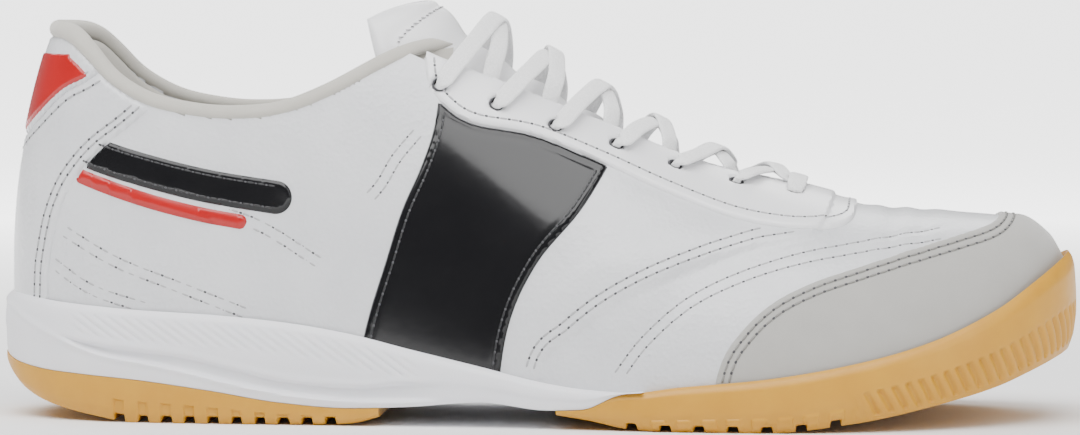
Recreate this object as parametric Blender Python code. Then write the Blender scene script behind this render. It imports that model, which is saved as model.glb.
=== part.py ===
"""Indoor court shoe for the right foot, as an assembly of its real pieces.

Metres, +Z up. The toe points along +X and the outer side of the foot faces -Y. The origin is on
the floor under the middle of the shoe. One function, skin_point, gives the outside of the foot
form. The upper, the pieces sewn on it, the tongue, the laces and the hollow of the sole all come
from it, so they follow each other when a size changes.
"""

import math
from collections import namedtuple

import bmesh
import bpy
import numpy as np
from mathutils import Matrix, Vector

# Driving sizes of the foot form
LAST_LENGTH = 0.2783
BALL_WIDTH = 0.0955
INSTEP_HEIGHT = 0.105
HEEL_STACK = 0.023
COLLAR_HEIGHT = 0.1005
HEEL_LEAN = 0.0103

# Walls and layers
UPPER_WALL = 0.0020
LEATHER = 0.0009
QUARTER_STEP = 0.0006
TONGUE_THICK = 0.0040
TONGUE_LIFT = 0.0085
INSOLE_THICK = 0.0035
BINDING_RADIUS = 0.0017
GAP = 0.0003

# Sole
RIM_HEIGHT = 0.033
RIM_LIP = 0.0016
SOLE_FLARE = 0.0039
TREAD_DEPTH = 0.0018
TREAD_WIDTH = 0.0028
HEEL_TREAD_PITCH = 0.0062
FOREFOOT_TREAD_PITCH = 0.0086
RIB_DEPTH = 0.0010
RIB_WIDTH = 0.0014
RIB_PITCH = 0.0046

# Throat and lace
THROAT_HALF = 0.0170
EYELET_DIAMETER = 0.0036
EYELET_HALF_GAUGE = 0.0220
LACE_WIDTH = 0.0050
LACE_THICK = 0.0012
LACE_STOP = 0.021

# How finely the form is divided
STATIONS = 34
ACROSS = 18

# The foot form, one row for each section from heel to toe. along is a share of LAST_LENGTH;
# axis, outer and inner are shares of BALL_WIDTH, the last two measured from the axis; floor is a
# share of HEEL_STACK; ridge, the line over the top, is a share of INSTEP_HEIGHT; full is how
# square the section is, with 2 an ellipse.
Section = namedtuple("Section", "along axis outer inner floor ridge full")
SECTIONS = (
    Section(0.00, 0.000, 0.000, 0.000, 1.00, 1.43, 2.3),
    Section(0.02, 0.000, 0.171, 0.166, 1.00, 1.42, 2.3),
    Section(0.06, 0.000, 0.264, 0.254, 0.99, 1.39, 2.3),
    Section(0.12, 0.000, 0.322, 0.303, 0.95, 1.34, 2.3),
    Section(0.20, 0.000, 0.350, 0.321, 0.88, 1.26, 2.2),
    Section(0.30, -0.003, 0.366, 0.314, 0.76, 1.14, 2.1),
    Section(0.42, -0.009, 0.396, 0.296, 0.60, 1.00, 1.9),
    Section(0.55, -0.005, 0.457, 0.327, 0.43, 0.80, 1.75),
    Section(0.66, 0.004, 0.516, 0.430, 0.39, 0.647, 1.75),
    Section(0.74, 0.012, 0.533, 0.468, 0.41, 0.582, 1.9),
    Section(0.82, 0.024, 0.509, 0.450, 0.50, 0.533, 2.2),
    Section(0.90, 0.038, 0.422, 0.377, 0.69, 0.516, 2.5),
    Section(0.96, 0.052, 0.290, 0.258, 0.95, 0.500, 2.6),
    Section(0.985, 0.058, 0.182, 0.160, 1.13, 0.456, 2.6),
    Section(1.00, 0.060, 0.000, 0.000, 1.22, 0.390, 2.6),
)

# The sole seen from the side: along as above. under is the tread and part the joint between
# rubber and foam, both shares of HEEL_STACK; rim is the upper edge, a share of RIM_HEIGHT.
SoleRow = namedtuple("SoleRow", "along under part rim")
SOLE_ROWS = (
    SoleRow(0.00, 0.62, 0.72, 1.000),
    SoleRow(0.02, 0.34, 0.63, 0.985),
    SoleRow(0.05, 0.18, 0.57, 0.950),
    SoleRow(0.09, 0.07, 0.53, 0.920),
    SoleRow(0.13, 0.00, 0.49, 0.895),
    SoleRow(0.20, 0.00, 0.38, 0.865),
    SoleRow(0.27, 0.00, 0.25, 0.810),
    SoleRow(0.33, 0.02, 0.20, 0.730),
    SoleRow(0.39, 0.20, 0.225, 0.610),
    SoleRow(0.46, 0.28, 0.290, 0.475),
    SoleRow(0.52, 0.18, 0.215, 0.360),
    SoleRow(0.56, 0.11, 0.235, 0.315),
    SoleRow(0.60, 0.02, 0.380, 0.300),
    SoleRow(0.64, 0.00, 0.450, 0.345),
    SoleRow(0.72, 0.00, 0.450, 0.415),
    SoleRow(0.80, 0.10, 0.450, 0.530),
    SoleRow(0.87, 0.27, 0.500, 0.690),
    SoleRow(0.93, 0.46, 0.600, 0.920),
    SoleRow(0.97, 0.65, 0.800, 1.150),
    SoleRow(1.00, 0.80, 1.000, 1.333),
)
HEEL_RUBBER = (0.0, 0.36)
FRONT_RUBBER = (0.53, 1.0)
FOAM_TIP = 0.585
FOAM_BLEND = 0.018

# The side wall of the sole from its lower to its upper edge: up is a share of the wall's height,
# out a share of SOLE_FLARE.
WallRow = namedtuple("WallRow", "up out")
RUBBER_WALL = (
    WallRow(0.00, 0.20),
    WallRow(0.14, 0.55),
    WallRow(0.32, 0.80),
    WallRow(0.66, 0.88),
    WallRow(1.00, 0.86),
)
FOAM_WALL = (
    WallRow(0.00, 0.78),
    WallRow(0.30, 0.80),
    WallRow(0.40, 1.00),
    WallRow(0.78, 0.84),
    WallRow(1.00, 0.00),
)
CUP_WALL = (
    WallRow(0.00, 0.10),
    WallRow(0.16, 0.70),
    WallRow(0.42, 1.00),
    WallRow(0.82, 0.78),
    WallRow(1.00, 0.00),
)

# The collar's upper edge from the side: along as above, up a share of COLLAR_HEIGHT.
EdgeRow = namedtuple("EdgeRow", "along up")
COLLAR_EDGE = (
    EdgeRow(0.035, 1.010),
    EdgeRow(0.060, 1.000),
    EdgeRow(0.080, 0.955),
    EdgeRow(0.105, 0.885),
    EdgeRow(0.140, 0.830),
    EdgeRow(0.180, 0.803),
    EdgeRow(0.220, 0.795),
    EdgeRow(0.265, 0.807),
    EdgeRow(0.310, 0.855),
    EdgeRow(0.360, 0.930),
    EdgeRow(0.400, 0.980),
    EdgeRow(0.425, 0.995),
)

# The throat from above, half its width as a share of THROAT_HALF, and the outer edge of the
# eyestay from the side, its height as a share of INSTEP_HEIGHT.
ThroatRow = namedtuple("ThroatRow", "along half facing")
THROAT = (
    ThroatRow(0.410, 1.00, 0.815),
    ThroatRow(0.445, 0.97, 0.745),
    ThroatRow(0.500, 0.85, 0.715),
    ThroatRow(0.560, 0.72, 0.650),
    ThroatRow(0.620, 0.60, 0.578),
    ThroatRow(0.680, 0.50, 0.515),
    ThroatRow(0.730, 0.42, 0.485),
    ThroatRow(0.770, 0.30, 0.480),
)
THROAT_FRONT = 0.775
FACING_FRONT = 0.805

# Lace holes: along as above, half the gauge as a share of EYELET_HALF_GAUGE.
EyeletRow = namedtuple("EyeletRow", "along half")
EYELETS = (
    EyeletRow(0.412, 0.98),
    EyeletRow(0.465, 0.94),
    EyeletRow(0.520, 0.88),
    EyeletRow(0.577, 0.79),
    EyeletRow(0.632, 0.71),
    EyeletRow(0.690, 0.63),
    EyeletRow(0.745, 0.56),
)

# Outlines from the side, cut through the layer above the upper. along as above, up is a share of
# INSTEP_HEIGHT.
SidePoint = namedtuple("SidePoint", "along up")
TOE_GUARD_EDGE = (
    SidePoint(0.672, 0.05),
    SidePoint(0.680, 0.160),
    SidePoint(0.700, 0.245),
    SidePoint(0.728, 0.312),
    SidePoint(0.764, 0.360),
    SidePoint(0.808, 0.398),
    SidePoint(0.853, 0.434),
    SidePoint(0.896, 0.465),
    SidePoint(0.935, 0.498),
    SidePoint(0.952, 0.560),
)
QUARTER_FRONT = (
    SidePoint(0.505, 0.02),
    SidePoint(0.516, 0.170),
    SidePoint(0.541, 0.232),
    SidePoint(0.572, 0.296),
    SidePoint(0.610, 0.352),
    SidePoint(0.655, 0.400),
    SidePoint(0.712, 0.448),
    SidePoint(0.768, 0.480),
    SidePoint(0.790, 0.620),
)
SADDLE = (
    SidePoint(0.315, 0.02),
    SidePoint(0.345, 0.240),
    SidePoint(0.362, 0.400),
    SidePoint(0.362, 0.540),
    SidePoint(0.340, 0.700),
    SidePoint(0.560, 0.700),
    SidePoint(0.540, 0.520),
    SidePoint(0.500, 0.400),
    SidePoint(0.478, 0.240),
    SidePoint(0.470, 0.02),
)
BACKSTAY_FRONT = (
    SidePoint(0.048, 0.10),
    SidePoint(0.048, 0.300),
    SidePoint(0.060, 0.480),
    SidePoint(0.080, 0.590),
    SidePoint(0.115, 0.660),
    SidePoint(0.145, 0.720),
)
HEEL_TAB_SEAM = (
    SidePoint(0.075, 0.812),
    SidePoint(0.060, 0.800),
    SidePoint(-0.020, 0.695),
)

HEEL_X = -LAST_LENGTH / 2
STEP = 0.004


def column(rows, name, along, power=1):
    """A smooth curve through one column of a table; power 2 keeps round ends round."""
    xs = [row.along for row in rows]
    ys = [getattr(row, name) ** power for row in rows]
    along = min(max(along, xs[0]), xs[-1])
    k = max(i for i in range(len(xs) - 1) if xs[i] <= along)
    chords = [(ys[i + 1] - ys[i]) / (xs[i + 1] - xs[i]) for i in range(len(xs) - 1)]

    def slope(i):
        if i in (0, len(xs) - 1):
            return chords[min(i, len(chords) - 1)]
        if chords[i - 1] * chords[i] <= 0:
            return 0.0
        return 2 * chords[i - 1] * chords[i] / (chords[i - 1] + chords[i])

    width = xs[k + 1] - xs[k]
    t = (along - xs[k]) / width
    start, end = slope(k) * width, slope(k + 1) * width
    value = (
        ys[k] * (1 + 2 * t) * (1 - t) ** 2
        + start * t * (1 - t) ** 2
        + ys[k + 1] * t * t * (3 - 2 * t)
        + end * t * t * (t - 1)
    )
    return max(value, 0.0) ** (1 / power) if power != 1 else value


def lean(along, z):
    """How far the back of the heel lies forward of its foot at this height."""
    start = 0.4 * COLLAR_HEIGHT
    share = min(max((z - start) / (COLLAR_HEIGHT - start), 0.0), 1.25)
    return HEEL_LEAN * share**2 * max(1 - along / 0.25, 0.0) ** 2


def section(along, side):
    """(axis y, half width, floor, ridge, fullness) of the foot form."""
    name = "outer" if side < 0 else "inner"
    return (
        BALL_WIDTH * column(SECTIONS, "axis", along),
        BALL_WIDTH * column(SECTIONS, name, along, 2),
        HEEL_STACK * column(SECTIONS, "floor", along),
        INSTEP_HEIGHT * column(SECTIONS, "ridge", along),
        column(SECTIONS, "full", along),
    )


def form(turn, angle, side):
    """A point of the form: turn 0 to pi from heel to toe, angle 0 to pi/2 from edge to ridge."""
    if turn < 0:
        turn, side = -turn, -side
    if turn > math.pi:
        turn, side = 2 * math.pi - turn, -side
    if angle > math.pi / 2:
        angle, side = math.pi - angle, -side
    along = (1 - math.cos(turn)) / 2
    axis, half, floor, ridge, full = section(along, side)
    z = floor + (ridge - floor) * math.sin(angle) ** (2 / full)
    y = axis + side * half * max(math.cos(angle), 0.0) ** (2 / full)
    return Vector((HEEL_X + LAST_LENGTH * along + lean(along, z), y, z))


def skin_point(turn, angle, side, out=0.0):
    """The form's point moved out along its normal."""
    forward = form(turn + STEP, angle, side) - form(turn - STEP, angle, side)
    low = max(angle - STEP, 0.0)
    upward = form(turn, angle + STEP, side) - form(turn, low, side)
    normal = forward.cross(upward) * -side
    if normal.length < 1e-12:
        normal = Vector((0, 0, 1))
    return form(turn, angle, side) + out * normal.normalized()


def turn_of(along):
    return math.acos(1 - 2 * min(max(along, 0.0), 1.0))


def angle_at_height(along, z, side):
    _, _, floor, ridge, full = section(along, side)
    share = min(max((z - floor) / (ridge - floor), 0.0), 1.0)
    return math.asin(share ** (full / 2))


def angle_at_half(along, offset, side):
    _, half, _, _, full = section(along, side)
    return math.acos(min(offset / half, 1.0) ** (full / 2))


def side_point(along, z, side, out=0.0):
    """The skin at a place seen from the side; along is then the share of the length seen."""
    base = along
    for _ in range(8):
        base = along - lean(max(base, 0.0), z) / LAST_LENGTH
    base = max(base, 0.0)
    return skin_point(turn_of(base), angle_at_height(base, z, side), side, out)


def mesh_object(name, bm, material=None):
    bmesh.ops.remove_doubles(bm, verts=bm.verts, dist=1e-7)
    bmesh.ops.dissolve_degenerate(bm, edges=bm.edges, dist=1e-7)
    bmesh.ops.recalc_face_normals(bm, faces=bm.faces)
    if bm.calc_volume(signed=True) < 0:
        bmesh.ops.reverse_faces(bm, faces=bm.faces)
    mesh = bpy.data.meshes.new(name)
    bm.to_mesh(mesh)
    bm.free()
    obj = bpy.data.objects.new(name, mesh)
    if material:
        PARTS.objects.link(obj)
        obj.data.materials.append(material)
        obj.data.shade_smooth()
        obj.data.set_sharp_from_angle(angle=math.radians(35))
    else:
        CUTTERS.objects.link(obj)
        obj.hide_render = True
        obj.display_type = "WIRE"
    return obj


def cut(obj, cutter, operation="DIFFERENCE", solver="EXACT"):
    modifier = obj.modifiers.new(operation.title() + " " + cutter.name, "BOOLEAN")
    modifier.object = cutter
    modifier.operation = operation
    modifier.solver = solver


def skin_patch(name, keep, low, high, material=None):
    """The squares of the form's grid that keep() accepts, as a closed wall between two offsets."""
    bm = bmesh.new()
    made = {}

    def vert(i, j, out):
        if i in (0, STATIONS):
            j = min(j, ACROSS - j)
        if (i, j, out) not in made:
            side = -1 if j <= ACROSS / 2 else 1
            angle = math.pi * min(j, ACROSS - j) / ACROSS
            made[i, j, out] = bm.verts.new(skin_point(math.pi * i / STATIONS, angle, side, out))
        return made[i, j, out]

    edges = {}
    for i in range(STATIONS):
        for j in range(ACROSS):
            if not keep(form(math.pi * (i + 0.5) / STATIONS, math.pi * (min(j, ACROSS - j - 1) + 0.5) / ACROSS,
                             -1 if j < ACROSS / 2 else 1)):
                continue
            corners = [(i, j), (i + 1, j), (i + 1, j + 1), (i, j + 1)]
            for out in (low, high):
                ring = list(dict.fromkeys(vert(a, b, out) for a, b in corners))
                if len(ring) > 2:
                    bm.faces.new(ring if out == high else ring[::-1])
            for a, b in zip(corners, corners[1:] + corners[:1]):
                if vert(*a, high) is not vert(*b, high):
                    key = frozenset((vert(*a, high), vert(*b, high)))
                    edges.setdefault(key, []).append((a, b))
    for used in edges.values():
        if len(used) == 1:
            a, b = used[0]
            bm.faces.new((vert(*b, high), vert(*a, high), vert(*a, low), vert(*b, low)))
    return mesh_object(name, bm, material)


def loft(name, rings, material=None):
    """A closed solid through rings of equal count; the end rings are closed with a face."""
    bm = bmesh.new()
    rows = [[bm.verts.new(point) for point in ring] for ring in rings]
    for first, second in zip(rows, rows[1:]):
        for k in range(len(first)):
            n = (k + 1) % len(first)
            bm.faces.new((first[k], first[n], second[n], second[k]))
    bm.faces.new(rows[0][::-1])
    bm.faces.new(rows[-1])
    return mesh_object(name, bm, material)


def prism(name, outline, low, high, axis="Y"):
    """An outline of (x, z), or of (x, y) with axis Z, extruded between two places."""
    bm = bmesh.new()
    if axis == "Y":
        places = [(Vector((x, low, z)), Vector((x, high, z))) for x, z in outline]
    else:
        places = [(Vector((x, y, low)), Vector((x, y, high))) for x, y in outline]
    first = [bm.verts.new(a) for a, _ in places]
    last = [bm.verts.new(b) for _, b in places]
    bm.faces.new(first)
    bm.faces.new(last[::-1])
    for k in range(len(places)):
        n = (k + 1) % len(places)
        bm.faces.new((first[n], first[k], last[k], last[n]))
    return mesh_object(name, bm)


def seen(points, unit=INSTEP_HEIGHT):
    """Table rows to (x, z)."""
    return [(HEEL_X + LAST_LENGTH * p.along, unit * p.up) for p in points]


def smooth_line(points, count):
    """More points along a Catmull-Rom curve through (x, z) points."""
    grown = [points[0], *points, points[-1]]
    line = []
    for k in range(1, len(grown) - 2):
        for step in range(count):
            t = step / count
            line.append(
                tuple(
                    0.5 * (2 * b + (c - a) * t + (2 * a - 5 * b + 4 * c - d) * t**2 + (3 * b - a - 3 * c + d) * t**3)
                    for a, b, c, d in zip(*grown[k - 1 : k + 3])
                )
            )
    return line + [points[-1]]


def lowered(line, drop):
    """A line of (x, z) moved down square to itself."""
    moved = []
    for k, (x, z) in enumerate(line):
        before, after = line[max(k - 1, 0)], line[min(k + 1, len(line) - 1)]
        run, rise = after[0] - before[0], after[1] - before[1]
        size = math.hypot(run, rise)
        moved.append((x + drop * rise / size, z - drop * run / size))
    return moved


def material(name, colour, roughness, metallic=0.0):
    made = bpy.data.materials.new(name)
    made.use_nodes = True
    shader = made.node_tree.nodes["Principled BSDF"]
    shader.inputs["Base Color"].default_value = (*colour, 1)
    shader.inputs["Roughness"].default_value = roughness
    shader.inputs["Metallic"].default_value = metallic
    return made


def sole_height(along, name):
    unit = RIM_HEIGHT if name == "rim" else HEEL_STACK
    return unit * column(SOLE_ROWS, name, along)


def rim_point(turn, side, z, out):
    """The plan outline of the form's lower edge, moved out in plan and set at a height."""
    point = skin_point(turn, 0.0, side)
    away = skin_point(turn, 0.0, side, 1.0) - point
    away.z = 0
    point += out * away.normalized()
    point.z = z
    return point


def sole_rings(ends, lower, upper, wall, grown=0.0):
    """Rings of a sole layer between two heights, with the side wall's steps."""
    first, last = (turn_of(end) for end in ends)
    count = max(round(STATIONS * (last - first) / math.pi), 6)
    rings = []
    for i in range(count + 1):
        turn = first + (last - first) * i / count
        along = (1 - math.cos(turn)) / 2
        low, high = lower(along) - grown, upper(along) + grown
        ring = []
        for side, rows in ((-1, wall), (1, wall[::-1])):
            for row in rows:
                out = RIM_LIP + (SOLE_FLARE - RIM_LIP) * row.out + grown
                ring.append(rim_point(turn, side, low + (high - low) * row.up, out))
        rings.append(ring)
    return rings


def zipped(name, rings, material=None):
    """A loft whose end rings are folded shut where the form's two sides meet."""
    bm = bmesh.new()
    rows = [[bm.verts.new(point) for point in ring] for ring in rings]
    size = len(rings[0])
    for first, second in zip(rows, rows[1:]):
        for k in range(size):
            n = (k + 1) % size
            bm.faces.new((first[k], first[n], second[n], second[k]))
    for row, flip in ((rows[0], True), (rows[-1], False)):
        if (row[0].co - row[-1].co).length > 1e-6:
            for k in range(size // 2 - 1):
                face = (row[k], row[k + 1], row[size - 2 - k], row[size - 1 - k])
                bm.faces.new(face[::-1] if flip else face)
    return mesh_object(name, bm, material)


def last_solid(name, out, drop):
    """The filled foot form, grown by out, its underside lowered by drop."""
    bm = bmesh.new()
    rings = []
    for i in range(STATIONS + 1):
        turn = math.pi * i / STATIONS
        ring = []
        for j in range(ACROSS + 1):
            side = -1 if j <= ACROSS / 2 else 1
            ring.append(skin_point(turn, math.pi * min(j, ACROSS - j) / ACROSS, side, out))
        low = [ring[0].copy(), ring[-1].copy()]
        for point in low:
            point.z -= drop
        rings.append([low[0], *ring, low[1]])
    rows = [[bm.verts.new(point) for point in ring] for ring in rings]
    for first, second in zip(rows, rows[1:]):
        for k in range(len(first)):
            n = (k + 1) % len(first)
            bm.faces.new((first[k], first[n], second[n], second[k]))
    return mesh_object(name, bm)


def make_sole(foam, rubber, hollow):
    def under(along):
        return sole_height(along, "under")

    def part(along):
        return sole_height(along, "part")

    def rim(along):
        return sole_height(along, "rim")

    def foam_low(along):
        return part(along) + GAP

    midsole = zipped("midsole", sole_rings((0.0, FOAM_TIP), foam_low, rim, FOAM_WALL), foam)
    cut(midsole, hollow)
    heel = zipped("outsole_heel", sole_rings(HEEL_RUBBER, under, part, RUBBER_WALL), rubber)
    back = sole_rings((FRONT_RUBBER[0], FOAM_TIP), under, part, RUBBER_WALL)
    cup = sole_rings((FOAM_TIP + FOAM_BLEND, FRONT_RUBBER[1]), under, rim, CUP_WALL)
    front = zipped("outsole_front", back + cup, rubber)
    cut(front, hollow)
    for obj, start, end, pitch in (
        (heel, 0.115, 0.325, HEEL_TREAD_PITCH),
        (front, 0.60, 0.80, FOREFOOT_TREAD_PITCH),
    ):
        cut(obj, tread_cutter(obj.name + "_tread", start, end, pitch))
    cut(front, rib_cutter())
    return midsole, heel, front


def tread_cutter(name, start, end, pitch):
    """Slots across the tread, one each pitch."""
    bm = bmesh.new()
    x = HEEL_X + LAST_LENGTH * start
    while x < HEEL_X + LAST_LENGTH * end:
        size = Vector((TREAD_WIDTH, 2 * BALL_WIDTH, 2 * TREAD_DEPTH))
        place = Matrix.Translation((x, 0, 0)) @ Matrix.Diagonal((*size, 1))
        bmesh.ops.create_cube(bm, size=1, matrix=place)
        x += pitch
    return mesh_object(name, bm)


def rib_cutter():
    """Slanted grooves round the wall of the toe."""
    bm = bmesh.new()
    turn = turn_of(0.80)
    while turn < math.pi - 0.5 * RIB_PITCH / BALL_WIDTH:
        along = (1 - math.cos(turn)) / 2
        low, high = sole_height(along, "under"), sole_height(along, "rim")
        for side in (-1, 1):
            centre = rim_point(turn, side, low + 0.38 * (high - low), RIM_LIP + 0.93 * (SOLE_FLARE - RIM_LIP))
            away = (centre - rim_point(turn, side, centre.z, 0)).normalized()
            along_wall = Vector((0, 0, 1)).cross(away)
            tilt = 0.45 if along_wall.x < 0 else -0.45
            up = (Vector((0, 0, 1)) + tilt * along_wall).normalized()
            frame = Matrix((up.cross(away), away, up)).transposed().to_4x4()
            size = Matrix.Diagonal((RIB_WIDTH, 2 * RIB_DEPTH, 0.30 * (high - low), 1))
            bmesh.ops.create_cube(bm, size=1, matrix=Matrix.Translation(centre) @ frame @ size)
        ahead = form(turn + 0.01, 0, -1) - form(turn, 0, -1)
        turn += 0.01 * RIB_PITCH / ahead.length
    return mesh_object("toe_ribs", bm)


def make_upper(leather):
    """The hollow shell: a wall of the form, stepped up at the quarters, open at collar and throat."""
    collar = smooth_line(seen(COLLAR_EDGE, COLLAR_HEIGHT), 3)
    edge_drop = 2 * BINDING_RADIUS + 2 * GAP

    def below_collar(point):
        if point.x > collar[-1][0]:
            return True
        return point.z < 0.012 + np.interp(point.x, *zip(*collar))

    upper = skin_patch("upper", below_collar, -UPPER_WALL, 0.0, leather)
    line = lowered(collar, edge_drop)
    back = (collar[0][0] - 0.03, line[0][1])
    line = [back] + line
    top = 2 * INSTEP_HEIGHT
    opening = prism("collar_opening", line + [(line[-1][0], top), (back[0], top)], -BALL_WIDTH, BALL_WIDTH)
    sides = {}
    for side in (-1, 1):
        sides[side] = []
        for row in THROAT:
            x = HEEL_X + LAST_LENGTH * row.along
            axis = section(row.along, side)[0]
            sides[side].append((x, axis + side * THROAT_HALF * row.half))
    nose = (HEEL_X + LAST_LENGTH * THROAT_FRONT, section(THROAT_FRONT, 1)[0])
    slot = [(HEEL_X + 0.40 * LAST_LENGTH - 0.01, s * THROAT_HALF) for s in (1, -1)]
    slot += sides[-1] + [nose] + sides[1][::-1]
    throat = prism("throat_opening", slot, 0.4 * INSTEP_HEIGHT, top, "Z")
    return upper, opening, throat


def layer(name, region, outline, made_of, sides=(-1, 1), base=0.0, trims=(), solver="EXACT"):
    """A piece sewn on the upper: a thin wall outside the form, cut by an outline seen from the side."""
    xs = [x for x, _ in outline]
    reach = LAST_LENGTH / STATIONS * 1.6
    low, high = min(xs) - reach, max(xs) + reach

    def keep(point):
        on_side = len(sides) == 2 or point.y * sides[0] > 0
        return low < point.x < high and on_side and region(point)

    piece = skin_patch(name, keep, base + GAP, base + GAP + LEATHER, made_of)
    cut(piece, prism(name + "_outline", outline, -BALL_WIDTH, BALL_WIDTH), "INTERSECT", solver)
    for trim in trims:
        cut(piece, trim, solver=solver)
    return piece


def facing_outline(grown):
    """The eyestay's outer edge from the side, closed over the top."""
    edge = [(HEEL_X + LAST_LENGTH * r.along, INSTEP_HEIGHT * r.facing - grown) for r in THROAT]
    start = (edge[0][0] - 0.004 - grown, INSTEP_HEIGHT * 0.86)
    nose = (HEEL_X + LAST_LENGTH * FACING_FRONT + grown, INSTEP_HEIGHT * 0.505)
    top = 2 * INSTEP_HEIGHT
    return [start, *smooth_line(edge, 2), nose, (nose[0], top), (start[0], top)]


def make_facings(leather, trims):
    keep_top = INSTEP_HEIGHT * 0.44

    def near_throat(point):
        return point.z > keep_top

    base = QUARTER_STEP + GAP / 2
    return layer("eyestay", near_throat, facing_outline(0.0), leather, base=base, trims=trims)


def eyelet_cutter():
    """A round punch through the wall at every lace hole."""
    bm = bmesh.new()
    for row in EYELETS:
        for side in (-1, 1):
            angle = angle_at_half(row.along, EYELET_HALF_GAUGE * row.half, side)
            point = skin_point(turn_of(row.along), angle, side)
            out = skin_point(turn_of(row.along), angle, side, 1.0) - point
            place = Matrix.Translation(point) @ out.to_track_quat("Z", "X").to_matrix().to_4x4()
            bmesh.ops.create_cone(bm, cap_ends=True, segments=8, radius1=EYELET_DIAMETER / 2,
                                  radius2=EYELET_DIAMETER / 2, depth=6 * UPPER_WALL, matrix=place)
    return mesh_object("eyelet_punch", bm)


def make_tongue(leather):
    """A padded strip under the throat, rising past the collar to a free tip."""
    rows, sides = 19, 8
    start, end = 0.70, 0.358
    under = -0.5 * UPPER_WALL - BINDING_RADIUS - 7 * GAP
    low, high = [], []
    for i in range(rows + 1):
        share = i / rows
        centre = start + (end - start) * share
        free = max(share - 0.84, 0.0) / 0.16
        half = 0.017 + 0.010 * share
        top_ring, low_ring = [], []
        for k in range(sides + 1):
            across = 2 * k / sides - 1
            side = -1 if across < 0 else 1
            along = centre + 0.045 * (0.2 + 0.8 * share) - 0.065 * share * across**2
            reach = half * math.sqrt(1 - 0.16 * free * free) * abs(across)
            angle = angle_at_half(along, reach, side)
            lift = under + TONGUE_LIFT * free * max(1 - (reach / (0.72 * THROAT_HALF)) ** 4, 0.0)
            thick = TONGUE_THICK * (1 - 0.55 * across**4) * (0.6 + 0.4 * min(share * 3, 1))
            turn = turn_of(along)
            top_ring.append(skin_point(turn, angle, side, lift))
            low_ring.append(skin_point(turn, angle, side, lift - thick))
        high.append(top_ring)
        low.append(low_ring)
    rings = [top + bottom[::-1] for top, bottom in zip(high, low)]
    return zipped("tongue", rings, leather)


def make_insole(fabric):
    rings = []
    inset = UPPER_WALL + 3 * GAP
    for i in range(STATIONS + 1):
        turn = math.pi * i / STATIONS
        along = (1 - math.cos(turn)) / 2
        floor = HEEL_STACK * column(SECTIONS, "floor", along)
        ring = []
        for side, heights in ((-1, (0.0, INSOLE_THICK)), (1, (INSOLE_THICK, 0.0))):
            for height in heights:
                ring.append(rim_point(turn, side, floor + height, -inset))
        rings.append(ring)
    return zipped("insole", rings, fabric)


def make_binding(textile):
    """The rolled edge of the collar, from one facing round the heel to the other."""
    edge = smooth_line(seen(COLLAR_EDGE, COLLAR_HEIGHT), 3)
    curve = bpy.data.curves.new("collar_binding", "CURVE")
    curve.dimensions = "3D"
    curve.bevel_depth = BINDING_RADIUS
    curve.bevel_resolution = 2
    curve.use_fill_caps = True
    outer, inner = [], []
    for x, z in edge:
        along = (x - HEEL_X) / LAST_LENGTH
        height = z - BINDING_RADIUS
        outer.append(side_point(along, height, -1, -0.5 * UPPER_WALL))
        inner.append(side_point(along, height, 1, -0.5 * UPPER_WALL))
    height = COLLAR_HEIGHT * COLLAR_EDGE[0].up - BINDING_RADIUS
    behind = [p for p in outer if p.x < side_point(0.0, height, 1).x + 0.004]
    back = side_point(0.0, height, 1, -0.5 * UPPER_WALL)
    route = inner[::-1] + [back] + outer
    if behind:
        route = [p for p in inner[::-1] if p not in behind] + [back] + outer
    spline = curve.splines.new("POLY")
    spline.points.add(len(route) - 1)
    for point, place in zip(spline.points, route):
        point.co = (*place, 1)
    holder = bpy.data.objects.new("binding_curve", curve)
    PARTS.objects.link(holder)
    bpy.context.view_layer.update()
    graph = bpy.context.evaluated_depsgraph_get()
    mesh = bpy.data.meshes.new_from_object(holder.evaluated_get(graph))
    bpy.data.objects.remove(holder)
    bm = bmesh.new()
    bm.from_mesh(mesh)
    return mesh_object("collar_binding", bm, textile)


LACE_SECTION = ((-0.5, 0.0), (-0.36, 0.5), (0.36, 0.5), (0.5, 0.0), (0.36, -0.5), (-0.36, -0.5))


def lace_strand(name, start, end, cloth, lift=0.0):
    """A flat strand over the throat between two places (along, half distance, side)."""
    count = 6
    rings = []
    points = []
    for k in range(count + 1):
        share = k / count
        along = start[0] + (end[0] - start[0]) * share
        across = start[1] * start[2] + (end[1] * end[2] - start[1] * start[2]) * share
        side = -1 if across < 0 else 1
        angle = angle_at_half(along, abs(across), side)
        out = QUARTER_STEP + LEATHER + 5 * GAP + LACE_THICK / 2 + lift * math.sin(math.pi * share)
        points.append((skin_point(turn_of(along), angle, side, out), turn_of(along), angle, side, out))
    for k, (point, turn, angle, side, out) in enumerate(points):
        ahead = points[min(k + 1, count)][0] - points[max(k - 1, 0)][0]
        normal = (skin_point(turn, angle, side, out + 1.0) - point).normalized()
        wide = ahead.cross(normal).normalized()
        ring = []
        for across, high in LACE_SECTION:
            ring.append(point + wide * LACE_WIDTH * across + normal * LACE_THICK * high)
        rings.append(ring)
    return loft(name, rings, cloth)


def make_lace(cloth):
    """A crossing for each pair of rows, and a bar over the front pair."""
    made = []
    count = len(EYELETS)
    for k in range(count - 1):
        upper, lower = EYELETS[k], EYELETS[k + 1]
        high = (upper.along + 0.004, EYELET_HALF_GAUGE * upper.half)
        low = (lower.along - LACE_STOP, EYELET_HALF_GAUGE * lower.half * 0.62)
        name = f"lace_cross_{k + 1}"
        first = lace_strand(name, (*high, -1), (*low, 1), cloth)
        second = lace_strand(name + "_second", (*high, 1), (*low, -1), None, 0.6 * LACE_THICK)
        cut(first, second, "UNION")
        made.append(first)
    last = EYELETS[-1]
    bar = (last.along, EYELET_HALF_GAUGE * last.half)
    made.append(lace_strand("lace_bar", (*bar, -1), (*bar, 1), cloth))
    return made


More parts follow.
